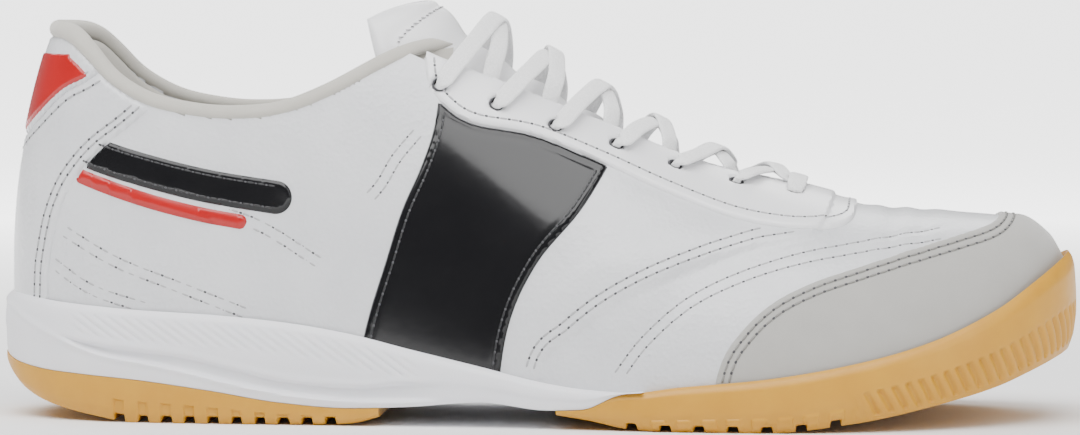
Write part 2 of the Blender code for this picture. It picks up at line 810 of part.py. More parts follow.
def build():
    leather = material("white_leather", (0.86, 0.87, 0.89), 0.38)
    facing = material("white_facing", (0.88, 0.88, 0.89), 0.34)
    patent = material("black_patent", (0.012, 0.012, 0.014), 0.12)
    suede = material("grey_suede", (0.50, 0.49, 0.465), 0.9)
    textile = material("collar_textile", (0.58, 0.56, 0.51), 0.85)
    foam = material("white_foam", (0.84, 0.84, 0.87), 0.5)
    rubber = material("gum_rubber", (0.72, 0.42, 0.13), 0.42)
    cloth = material("white_lace", (0.87, 0.87, 0.87), 0.7)
    red = material("red_leather", (0.62, 0.01, 0.015), 0.35)

    hollow = last_solid("last_hollow", GAP, GAP)
    midsole, heel, front = make_sole(foam, rubber, hollow)

    cup = zipped("cup_clearance", sole_rings((0.0, 1.0), lambda along: 0.0,
                                              lambda along: sole_height(along, "rim"), FOAM_WALL, GAP))
    upper, opening, throat = make_upper(leather)
    edge = seen(QUARTER_FRONT)
    line = smooth_line(edge, 3)
    top = 2 * INSTEP_HEIGHT
    quarters = prism("quarter_outline", line + [(line[-1][0], top), (HEEL_X - 0.02, top), (HEEL_X - 0.02, 0.0)],
                     -BALL_WIDTH, BALL_WIDTH)
    end_x = HEEL_X + 0.86 * LAST_LENGTH
    step = skin_patch("quarter_step", lambda point: point.x < end_x and point.z < 1.15 * INSTEP_HEIGHT,
                      -0.5 * UPPER_WALL, QUARTER_STEP)
    cut(step, quarters, "INTERSECT")
    cut(step, cup)
    cut(upper, step, "UNION")
    cut(upper, opening)
    cut(upper, throat)
    punch = eyelet_cutter()
    cut(upper, punch)

    eyestay = make_facings(facing, (opening, throat))
    cut(eyestay, punch, solver="MANIFOLD")
    wide_facing = prism("facing_clearance", facing_outline(GAP), -BALL_WIDTH, BALL_WIDTH)
    guard_line = smooth_line(seen(TOE_GUARD_EDGE), 2)
    guard = guard_line + [(0.6 * LAST_LENGTH, guard_line[-1][1]), (0.6 * LAST_LENGTH, 0.0)]
    layer("toe_guard", lambda point: point.z < 0.67 * INSTEP_HEIGHT, guard, suede, trims=(cup,))
    for side, name in ((-1, "saddle_outer"), (1, "saddle_inner")):
        outline = smooth_line(seen(SADDLE), 2)[:-1] + seen(SADDLE)[-1:]
        layer(name, lambda point: point.z < 0.86 * INSTEP_HEIGHT, outline, patent, (side,), QUARTER_STEP,
              (cup, wide_facing), "MANIFOLD")
    stay = smooth_line(seen(BACKSTAY_FRONT), 3)
    seam = seen(HEEL_TAB_SEAM)
    backstay = stay + [(x, z - GAP) for x, z in seam] + [(HEEL_X - 0.02, 0.0)]
    layer("backstay", lambda point: point.z < 1.05 * INSTEP_HEIGHT, backstay, leather, base=QUARTER_STEP,
          trims=(cup, opening))
    tab = [(stay[-1][0] + 0.001, stay[-1][1] + 0.002)] + seam
    tab += [(seam[-1][0], INSTEP_HEIGHT * 1.1), (stay[-1][0] + 0.001, INSTEP_HEIGHT * 1.1)]
    layer("heel_tab", lambda point: point.z < 1.07 * INSTEP_HEIGHT, tab, red, base=QUARTER_STEP, trims=(opening,))
    make_tongue(leather)
    make_insole(textile)
    make_binding(textile)
    make_lace(cloth)


def centre_on_floor():
    """Moves the whole shoe so that the origin lies on the floor under the middle of its box."""
    bpy.context.view_layer.update()
    graph = bpy.context.evaluated_depsgraph_get()
    corners = []
    for obj in PARTS.objects:
        corners += [Vector(corner) for corner in obj.evaluated_get(graph).bound_box]
    low = Vector([min(c[k] for c in corners) for k in range(3)])
    high = Vector([max(c[k] for c in corners) for k in range(3)])
    middle = (low + high) / 2
    for obj in [*PARTS.objects, *CUTTERS.objects]:
        obj.location -= Vector((middle.x, middle.y, low.z))


for old in list(bpy.data.objects):
    bpy.data.objects.remove(old)
PARTS = bpy.data.collections.new("indoor_court_shoe")
CUTTERS = bpy.data.collections.new("cutters")
for collection in (PARTS, CUTTERS):
    bpy.context.scene.collection.children.link(collection)
build()
centre_on_floor()
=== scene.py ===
# %% [markdown]
# # An indoor court shoe, dressed for its portrait
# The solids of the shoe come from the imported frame: a hollow upper, its overlays, the sole, the
# tongue and the lace crossings. This lesson makes the surfaces that an eye expects on them. Every
# leather piece is cut from one function, the outside of the foot form, so panels, seams and laces
# stay on each other from every side. That is the way a shoemaker works too: everything is drawn
# on the last.

# %% The frame
import math

import bmesh
import bpy
import numpy as np
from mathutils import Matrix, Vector


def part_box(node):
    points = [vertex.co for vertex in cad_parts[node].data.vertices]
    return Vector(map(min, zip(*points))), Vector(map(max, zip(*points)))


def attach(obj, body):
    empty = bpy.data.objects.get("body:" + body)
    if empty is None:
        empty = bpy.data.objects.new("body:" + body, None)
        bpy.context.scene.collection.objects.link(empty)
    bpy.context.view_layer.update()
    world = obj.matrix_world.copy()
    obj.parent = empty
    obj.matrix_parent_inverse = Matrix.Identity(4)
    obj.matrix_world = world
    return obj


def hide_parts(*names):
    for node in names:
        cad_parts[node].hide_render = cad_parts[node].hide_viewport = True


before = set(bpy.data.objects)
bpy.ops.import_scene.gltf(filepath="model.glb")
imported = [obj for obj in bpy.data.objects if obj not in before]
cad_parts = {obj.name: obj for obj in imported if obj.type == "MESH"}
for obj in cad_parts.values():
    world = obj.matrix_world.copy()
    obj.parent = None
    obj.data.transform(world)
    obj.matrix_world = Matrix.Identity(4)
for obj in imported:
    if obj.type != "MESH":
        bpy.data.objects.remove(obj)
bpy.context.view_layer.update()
MM = 0.001
print("nodes:", sorted(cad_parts))

# %% [markdown]
# ## The foot form
# A last is described by sections: how wide it is to each side of its axis, where its floor and
# its ridge lie, and how square the section is. The rows are the ones the solids were made with.
# Between rows a smooth curve is drawn, and widths are squared before it so that heel and toe
# come out round. Whole arrays of points go through it at once, which keeps the script quick.

# %% Sizes and section tables
LAST_LENGTH = 278.3 * MM
BALL_WIDTH = 95.5 * MM
INSTEP_HEIGHT = 105 * MM
HEEL_STACK = 23 * MM
COLLAR_HEIGHT = 100.5 * MM
HEEL_LEAN = 10.3 * MM
RIM_HEIGHT = 33 * MM
HEEL_X = -LAST_LENGTH / 2

# along, axis, outer, inner, floor, ridge, full
SECTIONS = (
    (0.00, 0.000, 0.000, 0.000, 1.00, 1.43, 2.3),
    (0.02, 0.000, 0.171, 0.166, 1.00, 1.42, 2.3),
    (0.06, 0.000, 0.264, 0.254, 0.99, 1.39, 2.3),
    (0.12, 0.000, 0.322, 0.303, 0.95, 1.34, 2.3),
    (0.20, 0.000, 0.350, 0.321, 0.88, 1.26, 2.2),
    (0.30, -0.003, 0.366, 0.314, 0.76, 1.14, 2.1),
    (0.42, -0.009, 0.396, 0.296, 0.60, 1.00, 1.9),
    (0.55, -0.005, 0.457, 0.327, 0.43, 0.80, 1.75),
    (0.66, 0.004, 0.516, 0.430, 0.39, 0.647, 1.75),
    (0.74, 0.012, 0.533, 0.468, 0.41, 0.582, 1.9),
    (0.82, 0.024, 0.509, 0.450, 0.50, 0.533, 2.2),
    (0.90, 0.038, 0.422, 0.377, 0.69, 0.516, 2.5),
    (0.96, 0.052, 0.290, 0.258, 0.95, 0.500, 2.6),
    (0.985, 0.058, 0.182, 0.160, 1.13, 0.456, 2.6),
    (1.00, 0.060, 0.000, 0.000, 1.22, 0.390, 2.6),
)
AXIS, OUTER, INNER, FLOOR, RIDGE, FULL = range(1, 7)

# %% A smooth curve through a table's column
ALONG = np.linspace(0, 1, 2001)


def smooth_column(xs, ys, at):
    """Cubic pieces whose slopes never overshoot the rows."""
    xs, ys, at = np.array(xs, float), np.array(ys, float), np.clip(at, xs[0], xs[-1])
    chords = np.diff(ys) / np.diff(xs)
    slopes = np.concatenate([chords[:1], np.zeros(len(xs) - 2), chords[-1:]])
    same = chords[:-1] * chords[1:] > 0
    slopes[1:-1][same] = 2 * chords[:-1][same] * chords[1:][same] / (chords[:-1] + chords[1:])[same]
    k = np.clip(np.searchsorted(xs, at, side="right") - 1, 0, len(xs) - 2)
    width = xs[k + 1] - xs[k]
    t = (at - xs[k]) / width
    return (ys[k] * (1 + 2 * t) * (1 - t) ** 2 + slopes[k] * width * t * (1 - t) ** 2
            + ys[k + 1] * t * t * (3 - 2 * t) + slopes[k + 1] * width * t * t * (t - 1))


def column(rows, index, power=1):
    """One column of a table, smooth along the shoe."""
    values = smooth_column([r[0] for r in rows], [r[index] ** power for r in rows], ALONG)
    return np.maximum(values, 0) ** (1 / power) if power != 1 else values


FORM = {k: column(SECTIONS, k, 2 if k in (OUTER, INNER) else 1) for k in range(1, 7)}


def shape(index, along):
    return np.interp(along, ALONG, FORM[index])


# %% Points of the form
def lean(along, z):
    """How far the heel's back moves forward at a height."""
    start = 0.4 * COLLAR_HEIGHT
    share = np.clip((z - start) / (COLLAR_HEIGHT - start), 0, 1.25)
    return HEEL_LEAN * share**2 * np.maximum(1 - along / 0.25, 0) ** 2


def form(turn, angle, side):
    """Points of the form: turn 0 to pi from heel to toe, angle 0 to pi/2 from edge to ridge."""
    turn, angle, side = (a * 1.0 for a in np.broadcast_arrays(turn, angle, side))
    for past, fold in ((turn < 0, -turn), (turn > math.pi, 2 * math.pi - turn)):
        turn, side = np.where(past, fold, turn), np.where(past, -side, side)
    past = angle > math.pi / 2
    angle, side = np.where(past, math.pi - angle, angle), np.where(past, -side, side)
    along = (1 - np.cos(turn)) / 2
    half = BALL_WIDTH * np.where(side < 0, shape(OUTER, along), shape(INNER, along))
    floor, ridge = HEEL_STACK * shape(FLOOR, along), INSTEP_HEIGHT * shape(RIDGE, along)
    power = 2 / shape(FULL, along)
    z = floor + (ridge - floor) * np.sin(np.maximum(angle, 0)) ** power
    y = BALL_WIDTH * shape(AXIS, along) + side * half * np.maximum(np.cos(angle), 0) ** power
    return np.stack([HEEL_X + LAST_LENGTH * along + lean(along, z), y + SHIFT_Y, z], -1)


STEP = 0.004  # of turn and angle, for slopes
SHIFT_Y = 0.0  # until the insole has been measured below


def unit(v):
    return v / np.maximum(np.linalg.norm(v, axis=-1, keepdims=True), 1e-12)


def normal(turn, angle, side):
    """Outward directions of the form at its points."""
    forward = form(turn + STEP, angle, side) - form(turn - STEP, angle, side)
    upward = form(turn, angle + STEP, side) - form(turn, np.maximum(angle - STEP, 0), side)
    return unit(np.cross(forward, upward) * -np.expand_dims(np.broadcast_to(side, forward.shape[:-1]), -1))


def turn_of(along):
    return np.arccos(1 - 2 * np.clip(along, 0, 1))


def from_side(x, z):
    """(turn, angle) of the wall's point that is seen from the side at x and z."""
    along = base = (np.asarray(x, float) - HEEL_X) / LAST_LENGTH
    for _ in range(8):
        base = along - lean(np.maximum(base, 0), z) / LAST_LENGTH
    base = np.clip(base, 0, 1)
    floor, ridge = HEEL_STACK * shape(FLOOR, base), INSTEP_HEIGHT * shape(RIDGE, base)
    share = np.clip((z - floor) / (ridge - floor), 0, 1)
    return turn_of(base), np.arcsin(share ** (shape(FULL, base) / 2))


def from_above(along, offset, side):
    """(turn, angle) of the point at this distance from the axis."""
    half = BALL_WIDTH * np.where(np.asarray(side) < 0, shape(OUTER, along), shape(INNER, along))
    angle = np.arccos(np.clip(np.abs(offset) / half, 0, 1) ** (shape(FULL, along) / 2))
    return turn_of(along), angle


# The solids' origin lies under the middle of the sole, so the form moves sideways to meet them.
ALL_TURNS = np.linspace(0, math.pi, 400)
EDGE_Y = [form(ALL_TURNS, 0.0, s)[:, 1] for s in (-1, 1)]
INSOLE_LOW, INSOLE_HIGH = (np.array(c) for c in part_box("insole"))
SHIFT_Y = float((INSOLE_LOW[1] + INSOLE_HIGH[1]) / 2 - (EDGE_Y[0].min() + EDGE_Y[1].max()) / 2)
print("form moved sideways by", round(SHIFT_Y / MM, 2), "mm")

# %% [markdown]
# ## Materials
# A shoe is told apart by its finishes: pearly coated leather, mirror-like patent, napped suede,
# chalky foam, waxy gum rubber and woven cord. Each is a few nodes: a fine bump at the real scale
# of the grain, a slow change of tone, and a roughness that wanders a little. Writing the node
# maths as plain expressions keeps that readable, so a small class wraps a socket first.


# %% Node maths as expressions
class Value:
    """A socket of a material's node tree that can be added, multiplied and so on."""

    def __init__(self, tree, socket):
        self.tree, self.socket = tree, socket

    def node(self, kind, settings=None, **inputs):
        """A new node; an input is given by its name, or as i0, i1 by its number."""
        made = self.tree.nodes.new(kind)
        for name, value in (settings or {}).items():
            setattr(made, name, value)
        for name, value in inputs.items():
            socket = made.inputs[int(name[1:]) if name in ("i0", "i1") else name]
            if isinstance(value, Value):
                self.tree.links.new(value.socket, socket)
            else:
                socket.default_value = value
        return made

    def out(self, made, name=0):
        return Value(self.tree, made.outputs[name])

    def maths(self, operation, first, second):
        return self.out(self.node("ShaderNodeMath", {"operation": operation}, i0=first, i1=second))

    def __add__(self, other):
        return self.maths("ADD", self, other)

    def __mul__(self, other):
        return self.maths("MULTIPLY", self, other)

    def __rsub__(self, other):
        return self.maths("SUBTRACT", other, self)

    def __pow__(self, other):
        return self.maths("POWER", self, other)


# %% A finish: the shader and what every finish starts from
class Finish(Value):
    """A material under construction; calling its helpers adds nodes."""

    def __init__(self, name, colour, roughness, **constants):
        self.material = bpy.data.materials.new(name)
        self.material.use_nodes = True
        super().__init__(self.material.node_tree, None)
        self.shader = self.tree.nodes["Principled BSDF"]
        self.set("Base Color", (*colour, 1))
        self.set("Roughness", roughness)
        for socket, value in constants.items():
            self.set(socket.replace("_", " "), value)
        self.place = self.out(self.node("ShaderNodeTexCoord"), "Object")

    def set(self, socket, value):
        """A constant or a node's output for one socket of the shader."""
        if isinstance(value, Value):
            self.tree.links.new(value.socket, self.shader.inputs[socket])
        else:
            self.shader.inputs[socket].default_value = value

    def noise(self, size, detail=3.0, rough=0.55):
        """Noise whose features are about this many metres across."""
        return self.out(self.node("ShaderNodeTexNoise", Vector=self.place, Scale=1 / size, Detail=detail,
                                  Roughness=rough))

    def cells(self, size):
        """Distance to the nearest point of a pattern this many metres wide."""
        return self.out(self.node("ShaderNodeTexVoronoi", Vector=self.place, Scale=1 / size), "Distance")

    def tint(self, dark, light, mask):
        """A base colour that wanders between two tones."""
        mixed = self.node("ShaderNodeMix", {"data_type": "RGBA"}, Factor=mask)
        mixed.inputs[6].default_value = (*dark, 1)
        mixed.inputs[7].default_value = (*light, 1)
        self.set("Base Color", Value(self.tree, mixed.outputs[2]))

    def bump(self, height, depth, strength):
        made = self.node("ShaderNodeBump", Height=height, Distance=depth, Strength=strength)
        self.set("Normal", self.out(made, "Normal"))


# %% Leathers
pearl = Finish("pearl_leather", (0.80, 0.81, 0.83), 0.34, Coat_Weight=0.25, Coat_Roughness=0.18,
               Specular_IOR_Level=0.55)
grain = pearl.cells(1.3 * MM) * 0.5 + pearl.noise(0.5 * MM) * 0.2 + pearl.noise(4.5 * MM, 4) * 1.1
pearl.bump(grain, 0.24 * MM, 0.9)
pearl.tint((0.58, 0.59, 0.615), (0.72, 0.725, 0.74), pearl.noise(18 * MM, 4))
pearl.set("Roughness", pearl.noise(6 * MM) * 0.16 + 0.27)

facing = Finish("facing_leather", (0.82, 0.82, 0.835), 0.3, Coat_Weight=0.3, Coat_Roughness=0.2)
facing.bump(facing.noise(0.45 * MM, 2) * 0.3 + facing.noise(4 * MM, 3), 0.10 * MM, 0.7)
facing.set("Roughness", facing.noise(9 * MM) * 0.14 + 0.26)

patent = Finish("black_patent", (0.004, 0.004, 0.005), 0.17, Specular_IOR_Level=0.28, Coat_Weight=0.3,
                Coat_Roughness=0.09)
patent.bump(patent.noise(7 * MM, 2), 0.16 * MM, 0.35)
patent.tint((0.003, 0.003, 0.004), (0.007, 0.007, 0.008), patent.noise(12 * MM))

red_hide = Finish("red_leather", (0.40, 0.0016, 0.0024), 0.32, Coat_Weight=0.15, Coat_Roughness=0.2)
red_hide.bump(red_hide.noise(0.5 * MM), 0.04 * MM, 0.5)
red_hide.tint((0.34, 0.0012, 0.0018), (0.44, 0.002, 0.003), red_hide.noise(10 * MM))

tongue_hide = Finish("tongue_leather", (0.80, 0.80, 0.81), 0.4, Coat_Weight=0.15, Coat_Roughness=0.3)
tongue_hide.bump(tongue_hide.cells(1.1 * MM) * 0.6 + tongue_hide.noise(0.5 * MM) * 0.4, 0.06 * MM, 0.6)

suede = Finish("grey_suede", (0.47, 0.46, 0.44), 0.92, Sheen_Weight=0.35, Sheen_Roughness=0.5)
nap = suede.noise(0.22 * MM, 4, 0.7)
suede.bump(nap + suede.noise(1.6 * MM, 2) * 0.4, 0.09 * MM, 0.8)
suede.tint((0.33, 0.32, 0.30), (0.43, 0.42, 0.395), nap * 0.6 + suede.noise(7 * MM) * 0.4)

textile = Finish("collar_suede", (0.56, 0.54, 0.49), 0.9, Sheen_Weight=0.3, Sheen_Roughness=0.5)
brushed = textile.noise(0.25 * MM, 4, 0.7)
textile.bump(brushed, 0.08 * MM, 0.8)
textile.tint((0.42, 0.40, 0.355), (0.54, 0.52, 0.47), brushed * 0.6 + textile.noise(5 * MM) * 0.4)

# %% Sole and cords
foam = Finish("white_foam", (0.80, 0.80, 0.835), 0.5, Subsurface_Weight=0.05, Subsurface_Scale=0.002)
foam.bump(foam.noise(0.5 * MM, 3), 0.03 * MM, 0.5)
foam.tint((0.775, 0.775, 0.815), (0.82, 0.82, 0.845), foam.noise(14 * MM))

gum = Finish("gum_rubber", (0.72, 0.42, 0.13), 0.42, Subsurface_Weight=0.12, Subsurface_Scale=0.003,
             Specular_IOR_Level=0.45)
gum.set("Subsurface Radius", (1.0, 0.45, 0.12))
gum.bump(gum.noise(0.4 * MM, 3), 0.03 * MM, 0.5)
gum.tint((0.50, 0.235, 0.013), (0.62, 0.315, 0.022), gum.noise(10 * MM, 4))
gum.set("Roughness", gum.noise(4 * MM) * 0.2 + 0.34)

lace_cloth = Finish("white_lace", (0.82, 0.82, 0.82), 0.75, Sheen_Weight=0.2, Sheen_Roughness=0.5)
lace_cloth.bump(lace_cloth.cells(0.55 * MM), 0.14 * MM, 0.9)
lace_cloth.tint((0.74, 0.74, 0.745), (0.86, 0.86, 0.86), lace_cloth.cells(0.55 * MM))

thread = {
    "white": Finish("white_thread", (0.40, 0.40, 0.41), 0.6),
    "grey": Finish("grey_thread", (0.24, 0.235, 0.22), 0.7),
    "black": Finish("black_thread", (0.02, 0.02, 0.022), 0.4),
}
# Painted shade: a near-black finish for the eyelets' lining rings and the needle holes, standing in for the
# shade inside them.
hole_shade = Finish("painted_hole_shade", (0.06, 0.06, 0.065), 0.6)
inner_cloth = Finish("inner_lining", (0.50, 0.485, 0.45), 0.9, Sheen_Weight=0.2)
inner_cloth.bump(inner_cloth.noise(0.4 * MM, 3), 0.08 * MM, 0.8)
print("finishes:", len(bpy.data.materials))

# %% [markdown]
# ## Seen from the side
# Seams and panel edges are drawn as short lines in the side view, as shares of the length and of
# the instep height. From any point of the skin the distance to such a line is known, and that
# one number does a lot of work: it cuts a panel, rolls its edge, presses the groove of a seam and
# tells the needle where to go.


# %% Lines in the side view and distances to them
def through(points, steps):
    """A smooth path through points, with this many steps from one to the next."""
    points = np.asarray(points)
    grown = np.vstack([points[:1] * 2 - points[1:2], points, points[-1:] * 2 - points[-2:-1]])
    t = (np.arange(steps) / steps)[:, None]
    line = [0.5 * (2 * b + (c - a) * t + (2 * a - 5 * b + 4 * c - d) * t**2 + (3 * b - a - 3 * c + d) * t**3)
            for a, b, c, d in zip(grown, grown[1:], grown[2:], grown[3:])]
    return np.vstack([*line, points[-1:]])


def run_of(path):
    """The length walked up to each point of a path."""
    return np.concatenate([[0], np.cumsum(np.linalg.norm(np.diff(path, axis=0), axis=1))])


def in_metres(shares):
    """Side-view places from (along, up) shares."""
    return np.array([(HEEL_X + LAST_LENGTH * a, INSTEP_HEIGHT * b) for a, b in shares])


def side_line(*shares, steps=8):
    """A smooth line through (along, up) shares."""
    return through(in_metres(shares), steps)


def away(line, x, z):
    """Distance from side-view places to a line."""
    place = np.stack([x, z], -1)[..., None, :]
    start, run = line[:-1], np.diff(line, axis=0)
    share = np.clip(((place - start) * run).sum(-1) / (run**2).sum(-1), 0, 1)
    return np.linalg.norm(place - start - share[..., None] * run, axis=-1).min(-1)


def inside(outline, x, z):
    """Whether side-view places lie in a closed outline."""
    hit = np.zeros(np.shape(x), bool)
    for (x0, z0), (x1, z1) in zip(outline, np.roll(outline, -1, axis=0)):
        if z0 != z1:
            hit ^= ((z0 > z) != (z1 > z)) & (x < x0 + (z - z0) * (x1 - x0) / (z1 - z0))
    return hit


def within(edge, *closing):
    """A signed distance: positive inside the edge line closed by far-away points."""
    outline = np.vstack([edge, in_metres(closing)])

    def signed(x, z):
        return np.where(inside(outline, x, z), 1, -1) * away(edge, x, z)

    return signed


# %% The shoe's own lines
COLLAR_LINE = side_line((0.035, 0.967), (0.06, 0.957), (0.08, 0.914), (0.105, 0.847), (0.14, 0.794),
                        (0.18, 0.769), (0.22, 0.761), (0.265, 0.772), (0.31, 0.818), (0.36, 0.89),
                        (0.40, 0.938), (0.425, 0.952))
QUARTER_LINE = side_line((0.505, 0.02), (0.516, 0.17), (0.541, 0.232), (0.572, 0.296), (0.61, 0.352),
                         (0.655, 0.40), (0.712, 0.448), (0.768, 0.48), (0.79, 0.62))
GUARD_LINE = side_line((0.668, 0.0), (0.68, 0.16), (0.70, 0.245), (0.728, 0.312), (0.764, 0.36),
                       (0.808, 0.398), (0.853, 0.434), (0.896, 0.465), (0.935, 0.498), (0.952, 0.56))
FACING_LINE = side_line((0.397, 0.90), (0.402, 0.84), (0.418, 0.785), (0.445, 0.742), (0.50, 0.712),
                        (0.56, 0.648), (0.62, 0.576), (0.68, 0.514), (0.73, 0.486), (0.77, 0.482),
                        (0.800, 0.505), (0.806, 0.56))
SADDLE_LINE = side_line((0.330, 0.0), (0.348, 0.24), (0.366, 0.40), (0.381, 0.53), (0.397, 0.63),
                        (0.408, 0.72), (0.412, 0.80), steps=6)
SADDLE_FRONT = side_line((0.600, 0.80), (0.576, 0.66), (0.548, 0.53), (0.508, 0.40), (0.482, 0.24),
                         (0.470, 0.0), steps=6)
STAY_LINE = side_line((0.042, 0.0), (0.042, 0.33), (0.046, 0.43), (0.054, 0.52), (0.068, 0.60),
                      (0.092, 0.675), (0.128, 0.75), (0.155, 0.82))
TAB_SEAM = side_line((0.125, 0.925), (0.083, 0.852), (0.056, 0.812), (0.016, 0.712), (-0.03, 0.60))
quarter_side = within(QUARTER_LINE, (0.79, 1.4), (-0.2, 1.4), (-0.2, 0.02))
SEAMS = {
    "quarter_upper": side_line((0.078, 0.61), (0.16, 0.56), (0.24, 0.50), (0.305, 0.40)),
    "quarter_middle": side_line((0.05, 0.485), (0.11, 0.40), (0.17, 0.34), (0.235, 0.275)),
    "quarter_lower": side_line((0.045, 0.395), (0.085, 0.33), (0.14, 0.285)),
    "quarter_short": side_line((0.395, 0.725), (0.375, 0.66), (0.362, 0.60), (0.35, 0.56)),
    "vamp_front": side_line((0.585, 0.13), (0.61, 0.22), (0.65, 0.312), (0.70, 0.377), (0.755, 0.42),
                            (0.83, 0.455), (0.885, 0.475)),
}
DOUBLE = 2.6 * MM  # between the two rows of a seam
print("seams on each side:", len(SEAMS))

# %% [markdown]
# ## Making pieces
# Four helpers make nearly everything. One turns arrays into a mesh object that rides on the
# body. One closes a sheet of squares into a thin solid, and one joins rings into a tube. The
# last cuts a panel: it lays a fine net on the skin, keeps the squares inside the panel and then
# slides the outermost points onto the panel's outline, so the edge is clean without a single
# Boolean.

# %% From arrays to a piece
def piece(name, verts, faces, finish, slot, *nodes, sharp=50):
    """A mesh object that rides on the shoe and stands for these nodes; sharp is in degrees."""
    bm = bmesh.new()
    made = [bm.verts.new(v) for v in np.asarray(verts).reshape(-1, 3)]
    for face in faces:
        ring = list(dict.fromkeys(face))
        if len(ring) > 2:
            bm.faces.new([made[k] for k in ring])
    bmesh.ops.remove_doubles(bm, verts=bm.verts, dist=0.002 * MM)
    bmesh.ops.delete(bm, geom=[v for v in bm.verts if not v.link_faces], context="VERTS")
    bmesh.ops.recalc_face_normals(bm, faces=bm.faces)
    if bm.calc_volume(signed=True) < 0:
        bmesh.ops.reverse_faces(bm, faces=bm.faces)
    loose = sum(not e.is_manifold for e in bm.edges)
    mesh = bpy.data.meshes.new(name)
    bm.to_mesh(mesh)
    bm.free()
    mesh.shade_smooth()
    mesh.set_sharp_from_angle(angle=math.radians(sharp))
    obj = bpy.data.objects.new(name, mesh)
    bpy.context.scene.collection.objects.link(obj)
    mesh.materials.append(finish.material)
    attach(obj, "root")
    if nodes:
        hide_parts(*nodes)
    print(f"{name}: {len(mesh.polygons)} faces" + (f", {loose} open edges" if loose else ""))
    return obj


# %% Thin solids from nets, tubes from rings
def corners(grid):
    """The four corners of every square of a grid."""
    return grid[:-1, :-1], grid[1:, :-1], grid[1:, 1:], grid[:-1, 1:]


def closed(top, low, keep=None):
    """(points, faces) of the kept squares of two nets, joined round their border."""
    size = top.shape[0] * top.shape[1]
    squares = np.stack(corners(np.arange(size).reshape(top.shape[:2])), -1)
    squares = (squares.reshape(-1, 4) if keep is None else squares[keep]).tolist()
    edges = dict.fromkeys((a, b) for square in squares for a, b in zip(square, square[1:] + square[:1]))
    border = [(a, b) for a, b in edges if (b, a) not in edges]
    faces = squares + [[k + size for k in square[::-1]] for square in squares]
    faces += [[b, a, a + size, b + size] for a, b in border]
    return np.vstack([top.reshape(-1, 3), low.reshape(-1, 3)]), faces


def tube(rings):
    """(first ring, last ring, faces) between closed rings of points, by their numbers."""
    n, m = rings.shape[:2]
    number = np.arange(n * m).reshape(n, m)
    beside = np.roll(np.arange(m), -1)
    a, b = number[:-1], number[1:]
    return number[0], number[-1], np.stack([a, a[:, beside], b[:, beside], b], -1).reshape(-1, 4).tolist()


def capped(rings):
    """(points, faces) of a tube with both ends closed."""
    first, last, faces = tube(rings)
    return rings, faces + [first.tolist(), last[::-1].tolist()]


def net(first, last, count, across, side=None):
    """(turn, angle, side) arrays over the skin, on one side or over the top to the other."""
    turns = np.linspace(turn_of(first), turn_of(last), count)
    if side is None:
        sweep = np.linspace(0, math.pi, across)
        angles, sides = np.minimum(sweep, math.pi - sweep), np.where(sweep <= math.pi / 2, -1.0, 1.0)
    else:
        angles = np.linspace(0, math.pi / 2, across)
        sides = np.full(across, float(side))
    return [np.array(a) for a in np.broadcast_arrays(turns[:, None], angles[None], sides[None])]


# %% [markdown]
# ## The upper's relief
# The shell isn't smooth. The quarter lies on the vamp and makes a step, seams press shallow
# grooves, and walking leaves soft troughs over the ball of the foot. They are given here, in the
# shoe's own lengths, as heights above the form.

# %% Steps, grooves and creases
QUARTER_STEP, STEP_WIDE = 0.85 * MM, 0.5 * MM
GROOVE_DEEP, GROOVE_WIDE = 0.16 * MM, 0.75 * MM
# place along the shoe, depth, how much the crease bends back at its ends
CREASES = (
    (0.812, 0.375 * MM, 0.0175),
    (0.838, 0.465 * MM, 0.025),
    (0.866, 0.300 * MM, 0.02),
    (0.792, 0.255 * MM, 0.01),
)
# line, height, half width
FOLDS = (
    (side_line((0.16, 0.70), (0.24, 0.62), (0.30, 0.585)), 0.525 * MM, 5.0 * MM),
    (side_line((0.10, 0.74), (0.17, 0.66), (0.25, 0.60)), -0.375 * MM, 4.0 * MM),
    (side_line((0.27, 0.72), (0.33, 0.60), (0.345, 0.50)), 0.45 * MM, 5.0 * MM),
    (side_line((0.52, 0.30), (0.58, 0.40), (0.66, 0.47)), 0.525 * MM, 5.0 * MM),
    (side_line((0.60, 0.20), (0.65, 0.36), (0.72, 0.44)), -0.525 * MM, 4.5 * MM),
    (side_line((0.10, 0.42), (0.20, 0.35), (0.30, 0.33)), 0.375 * MM, 6.0 * MM),
)


def rise(share):
    """0 below 0, 1 above 1, and a soft slope between."""
    share = np.clip(share, 0, 1)
    return share * share * (3 - 2 * share)


def hump(distance, wide):
    """1 at no distance, falling softly to nothing past this width."""
    return np.exp(-((distance / wide) ** 2))


def relief(place):
    """How far the upper's leather stands off the form at these points."""
    x, z = place[..., 0], place[..., 2]
    along, up = (x - HEEL_X) / LAST_LENGTH, z / INSTEP_HEIGHT
    out = QUARTER_STEP * rise(quarter_side(x, z) / STEP_WIDE + 0.5)
    for line in SEAMS.values():
        out = out - GROOVE_DEEP * hump(away(line, x, z) - DOUBLE / 2, GROOVE_WIDE)
    for centre, depth, back in CREASES:
        past = along - centre + back * np.abs(place[..., 1] / BALL_WIDTH) ** 1.5
        out = out - depth * (hump(past, 0.0095) - 0.6 * hump(past - 0.016, 0.011)) * rise((up - 0.33) / 0.18)
    for line, height, wide in FOLDS:
        out = out + height * hump(away(line, x, z), wide)
    return out


def bar(distance, thick, rounding=0.7 * MM):
    """The height of a panel's surface this far inside its edge."""
    share = np.clip(distance / rounding, 0, 1)
    return thick * np.sqrt(1 - (1 - share) ** 2)


# %% Cutting a panel
EDGE_MOVE, EDGE_LIMIT = 1e-4, 0.02  # of turn and angle: a try, and the most in one go
GROOVE_ROUND = 0.6 * MM


